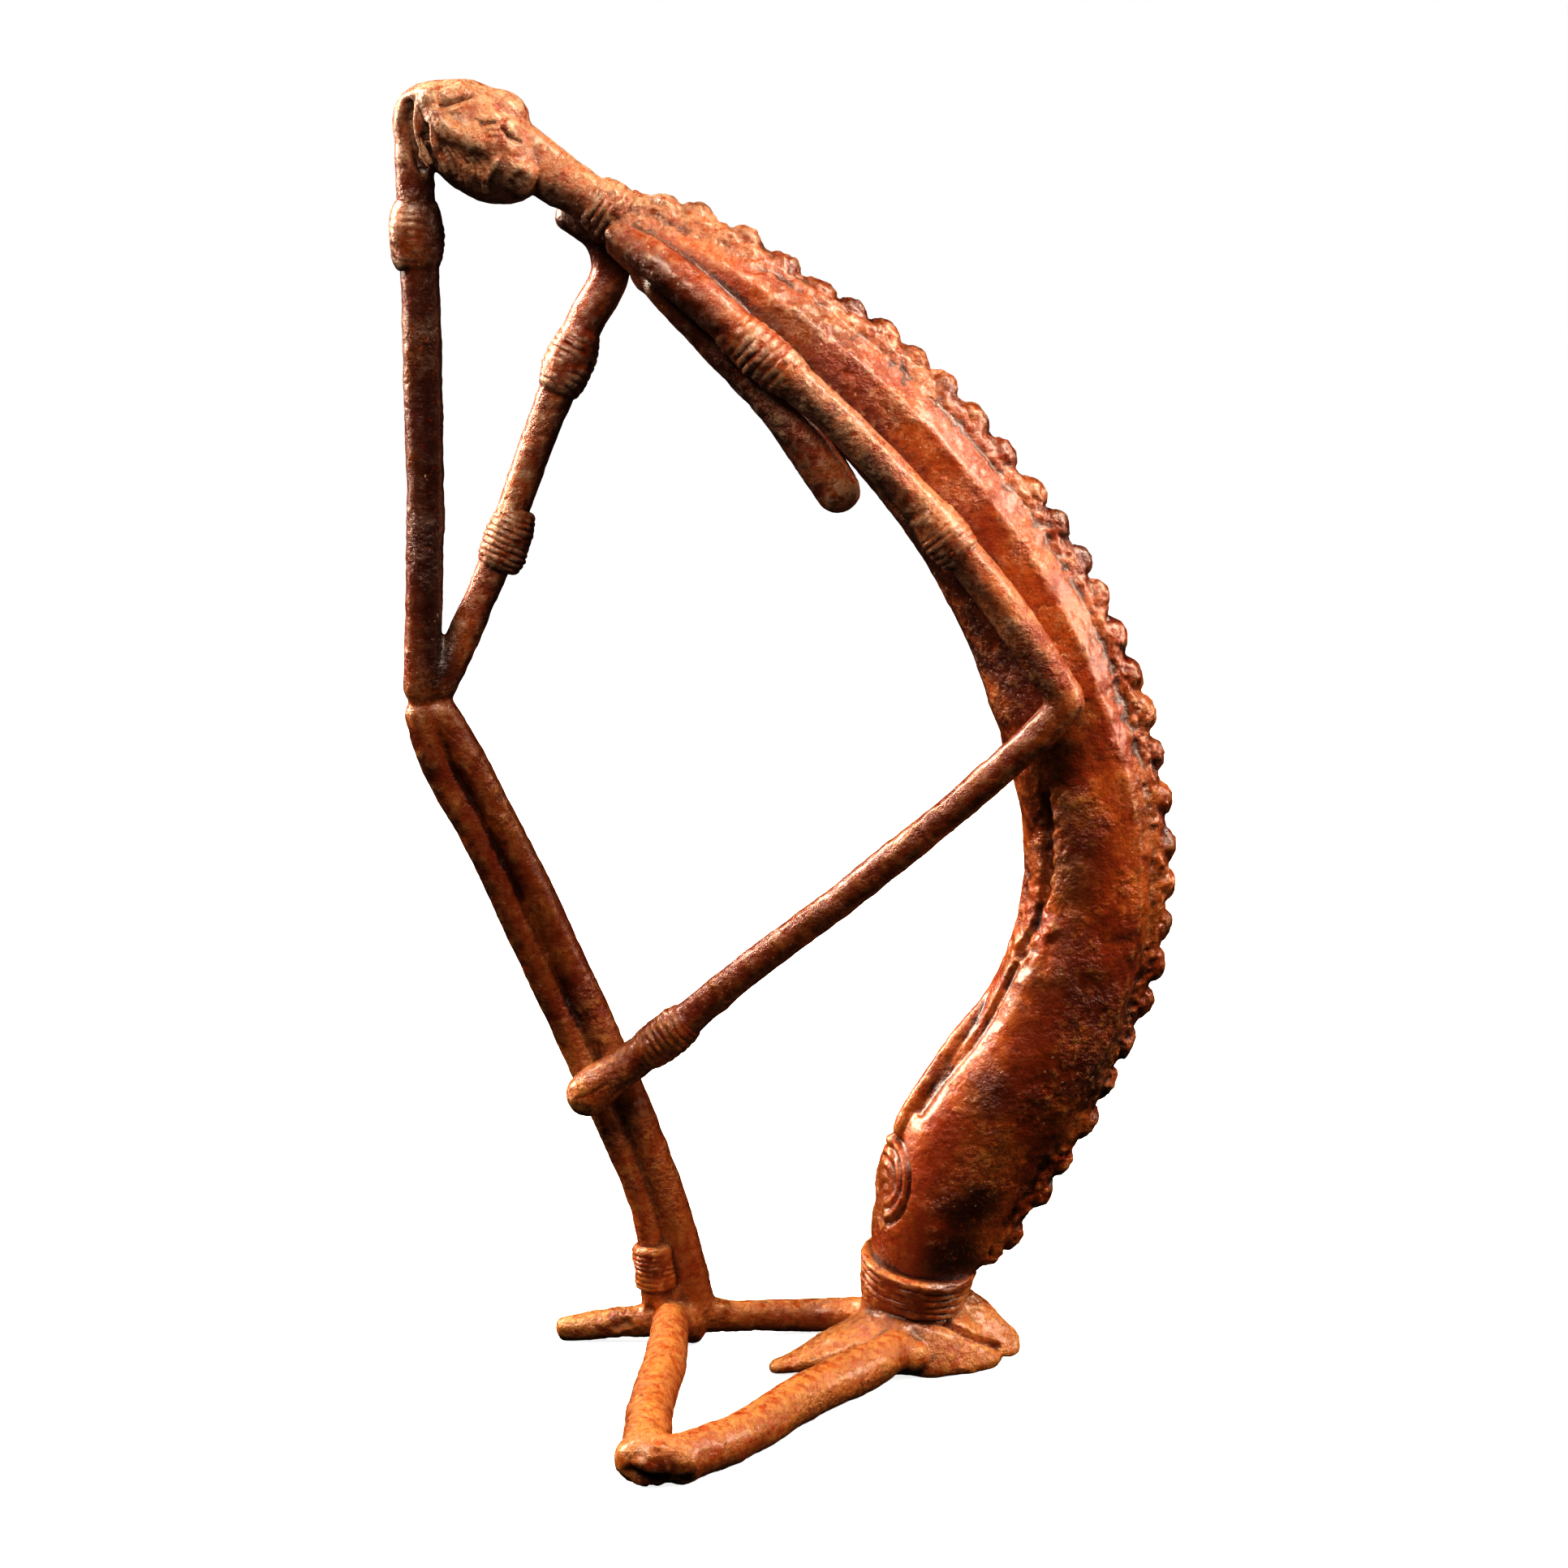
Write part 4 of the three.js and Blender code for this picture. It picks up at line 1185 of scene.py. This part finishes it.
class NOMMO_OT_cast_figure(bpy.types.Operator):
    """Builds the whole figure as one casting and gives it its patina"""

    bl_idname = "nommo.cast_figure"
    bl_label = "Cast the figure"

    def execute(self, context):
        mesh = cast_mesh(context.scene.nommo_shape)
        into_frame(mesh)
        mark(mesh)
        mesh.shade_smooth()
        mesh.set_sharp_from_angle(angle=np.radians(SHARP_EDGE))
        mesh.materials.clear()
        mesh.materials.append(patina(context.scene.nommo_patina))
        piece = bpy.data.objects.new(PIECE, mesh)
        context.collection.objects.link(piece)
        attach(piece, BODY)
        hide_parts(NODE)
        return {"FINISHED"}


def soft_light(name, place, size, power):
    """A rectangular soft light, a little warm, at a place and turned to the figure."""
    light = bpy.data.lights.new(name, "AREA")
    light.color = WARM_WHITE
    light.shape = "RECTANGLE"
    light.size, light.size_y = size
    light.energy = power
    lamp = bpy.data.objects.new(name, light)
    bpy.context.collection.objects.link(lamp)
    lamp.location = place
    lamp.rotation_euler = (Vector(LIGHT_AIM) - Vector(place)).to_track_quat("-Z", "Y").to_euler()


def pale_floor():
    """A pale sheet, a flat disc whose paper turns to plain white away from the figure.

    The radius of its rings grows as the square of their share.
    """
    angle = np.linspace(0, 2 * np.pi, FLOOR_SIDES, endpoint=False)[None, :]
    radius = (np.linspace(0, 1, FLOOR_RINGS)[1:, None] ** 2) * FLOOR_RADIUS
    rings = np.stack([radius * np.cos(angle), radius * np.sin(angle), 0 * radius * angle], axis=-1)
    grid = np.arange((FLOOR_RINGS - 1) * FLOOR_SIDES).reshape(-1, FLOOR_SIDES)
    beside = np.roll(grid, -1, axis=1)
    quads = np.stack([grid[:-1], grid[1:], beside[1:], beside[:-1]], axis=-1).reshape(-1, 4)
    mesh = bpy.data.meshes.new("floor")
    mesh.from_pydata(rings.reshape(-1, 3).tolist(), [], quads.tolist() + [grid[0].tolist()])
    paper = bpy.data.materials.new("pale_floor")
    paper.use_nodes = True
    tree = paper.node_tree
    tree.nodes.clear()
    place = wire(tree, "ShaderNodeTexCoord").outputs["Object"]
    far = wire(tree, "ShaderNodeVectorMath", {0: place}, operation="LENGTH").outputs["Value"]
    glow = wire(tree, "ShaderNodeMapRange", {
        "Value": far, "From Min": 0.1, "From Max": 0.35, "To Min": 0.9, "To Max": 1.0,
    }, interpolation_type="SMOOTHSTEP").outputs["Result"]
    shader = wire(tree, "ShaderNodeBsdfPrincipled", {
        "Base Color": (0.8, 0.8, 0.8, 1), "Roughness": 0.95, "Emission Color": (1, 1, 1, 1),
        "Emission Strength": glow,
    })
    wire(tree, "ShaderNodeOutputMaterial", {"Surface": shader.outputs["BSDF"]})
    mesh.materials.append(paper)
    floor = bpy.data.objects.new("floor", mesh)
    bpy.context.collection.objects.link(floor)
    floor.visible_diffuse = False
    floor.visible_glossy = False


def white_room(fill):
    """A dim room that looks white behind the figure."""
    world = bpy.data.worlds.new("room")
    world.use_nodes = True
    tree = world.node_tree
    tree.nodes.clear()
    seen = wire(tree, "ShaderNodeLightPath").outputs["Is Camera Ray"]
    glow = {"Value": seen, "To Min": fill, "To Max": 1.0}
    strength = wire(tree, "ShaderNodeMapRange", glow).outputs["Result"]
    background = wire(tree, "ShaderNodeBackground", {"Color": (1, 1, 1, 1), "Strength": strength})
    wire(tree, "ShaderNodeOutputWorld", {"Surface": background.outputs["Background"]})
    bpy.context.scene.world = world


class NOMMO_OT_set_stage(bpy.types.Operator):
    """Sets the pale floor, the soft lights and the camera"""

    bl_idname = "nommo.set_stage"
    bl_label = "Set the stage"

    def execute(self, context):
        stage = context.scene.nommo_stage
        camera = bpy.data.objects.new("camera", bpy.data.cameras.new("camera"))
        camera.data.sensor_width = CAMERA_SENSOR
        camera.data.lens = CAMERA_LENS
        camera.location = CAMERA_PLACE
        camera.rotation_euler = (np.radians(CAMERA_TILT), 0, 0)
        context.collection.objects.link(camera)
        context.scene.camera = camera
        pale_floor()
        white_room(stage.fill)
        soft_light(*KEY_LIGHT, stage.key)
        for *setting, share in SIDE_LIGHTS:
            soft_light(*setting, stage.side * share)
        context.scene.view_settings.view_transform = "Standard"
        context.scene.view_settings.gamma = VIEW_GAMMA
        return {"FINISHED"}


class NOMMO_PT_panel(bpy.types.Panel):
    """Lists the steps that build the figure and its stage"""

    bl_label = "Nommo figure"
    bl_space_type = "VIEW_3D"
    bl_region_type = "UI"
    bl_category = "Nommo"

    def draw(self, context):
        layout = self.layout
        for group in (context.scene.nommo_shape, context.scene.nommo_patina, context.scene.nommo_stage):
            for name in group.__annotations__:
                layout.prop(group, name)
        layout.operator(NOMMO_OT_cast_figure.bl_idname)
        layout.operator(NOMMO_OT_set_stage.bl_idname)


CLASSES = (NommoShape, NommoPatina, NommoStage, NOMMO_OT_cast_figure, NOMMO_OT_set_stage, NOMMO_PT_panel)


def register():
    for entry in CLASSES:
        bpy.utils.register_class(entry)
    bpy.types.Scene.nommo_shape = bpy.props.PointerProperty(type=NommoShape)
    bpy.types.Scene.nommo_patina = bpy.props.PointerProperty(type=NommoPatina)
    bpy.types.Scene.nommo_stage = bpy.props.PointerProperty(type=NommoStage)


def unregister():
    del bpy.types.Scene.nommo_stage
    del bpy.types.Scene.nommo_patina
    del bpy.types.Scene.nommo_shape
    for entry in reversed(CLASSES):
        bpy.utils.unregister_class(entry)


def main():
    register()
    bpy.ops.nommo.set_stage()
    bpy.ops.nommo.cast_figure()


if __name__ == "__main__":
    main()
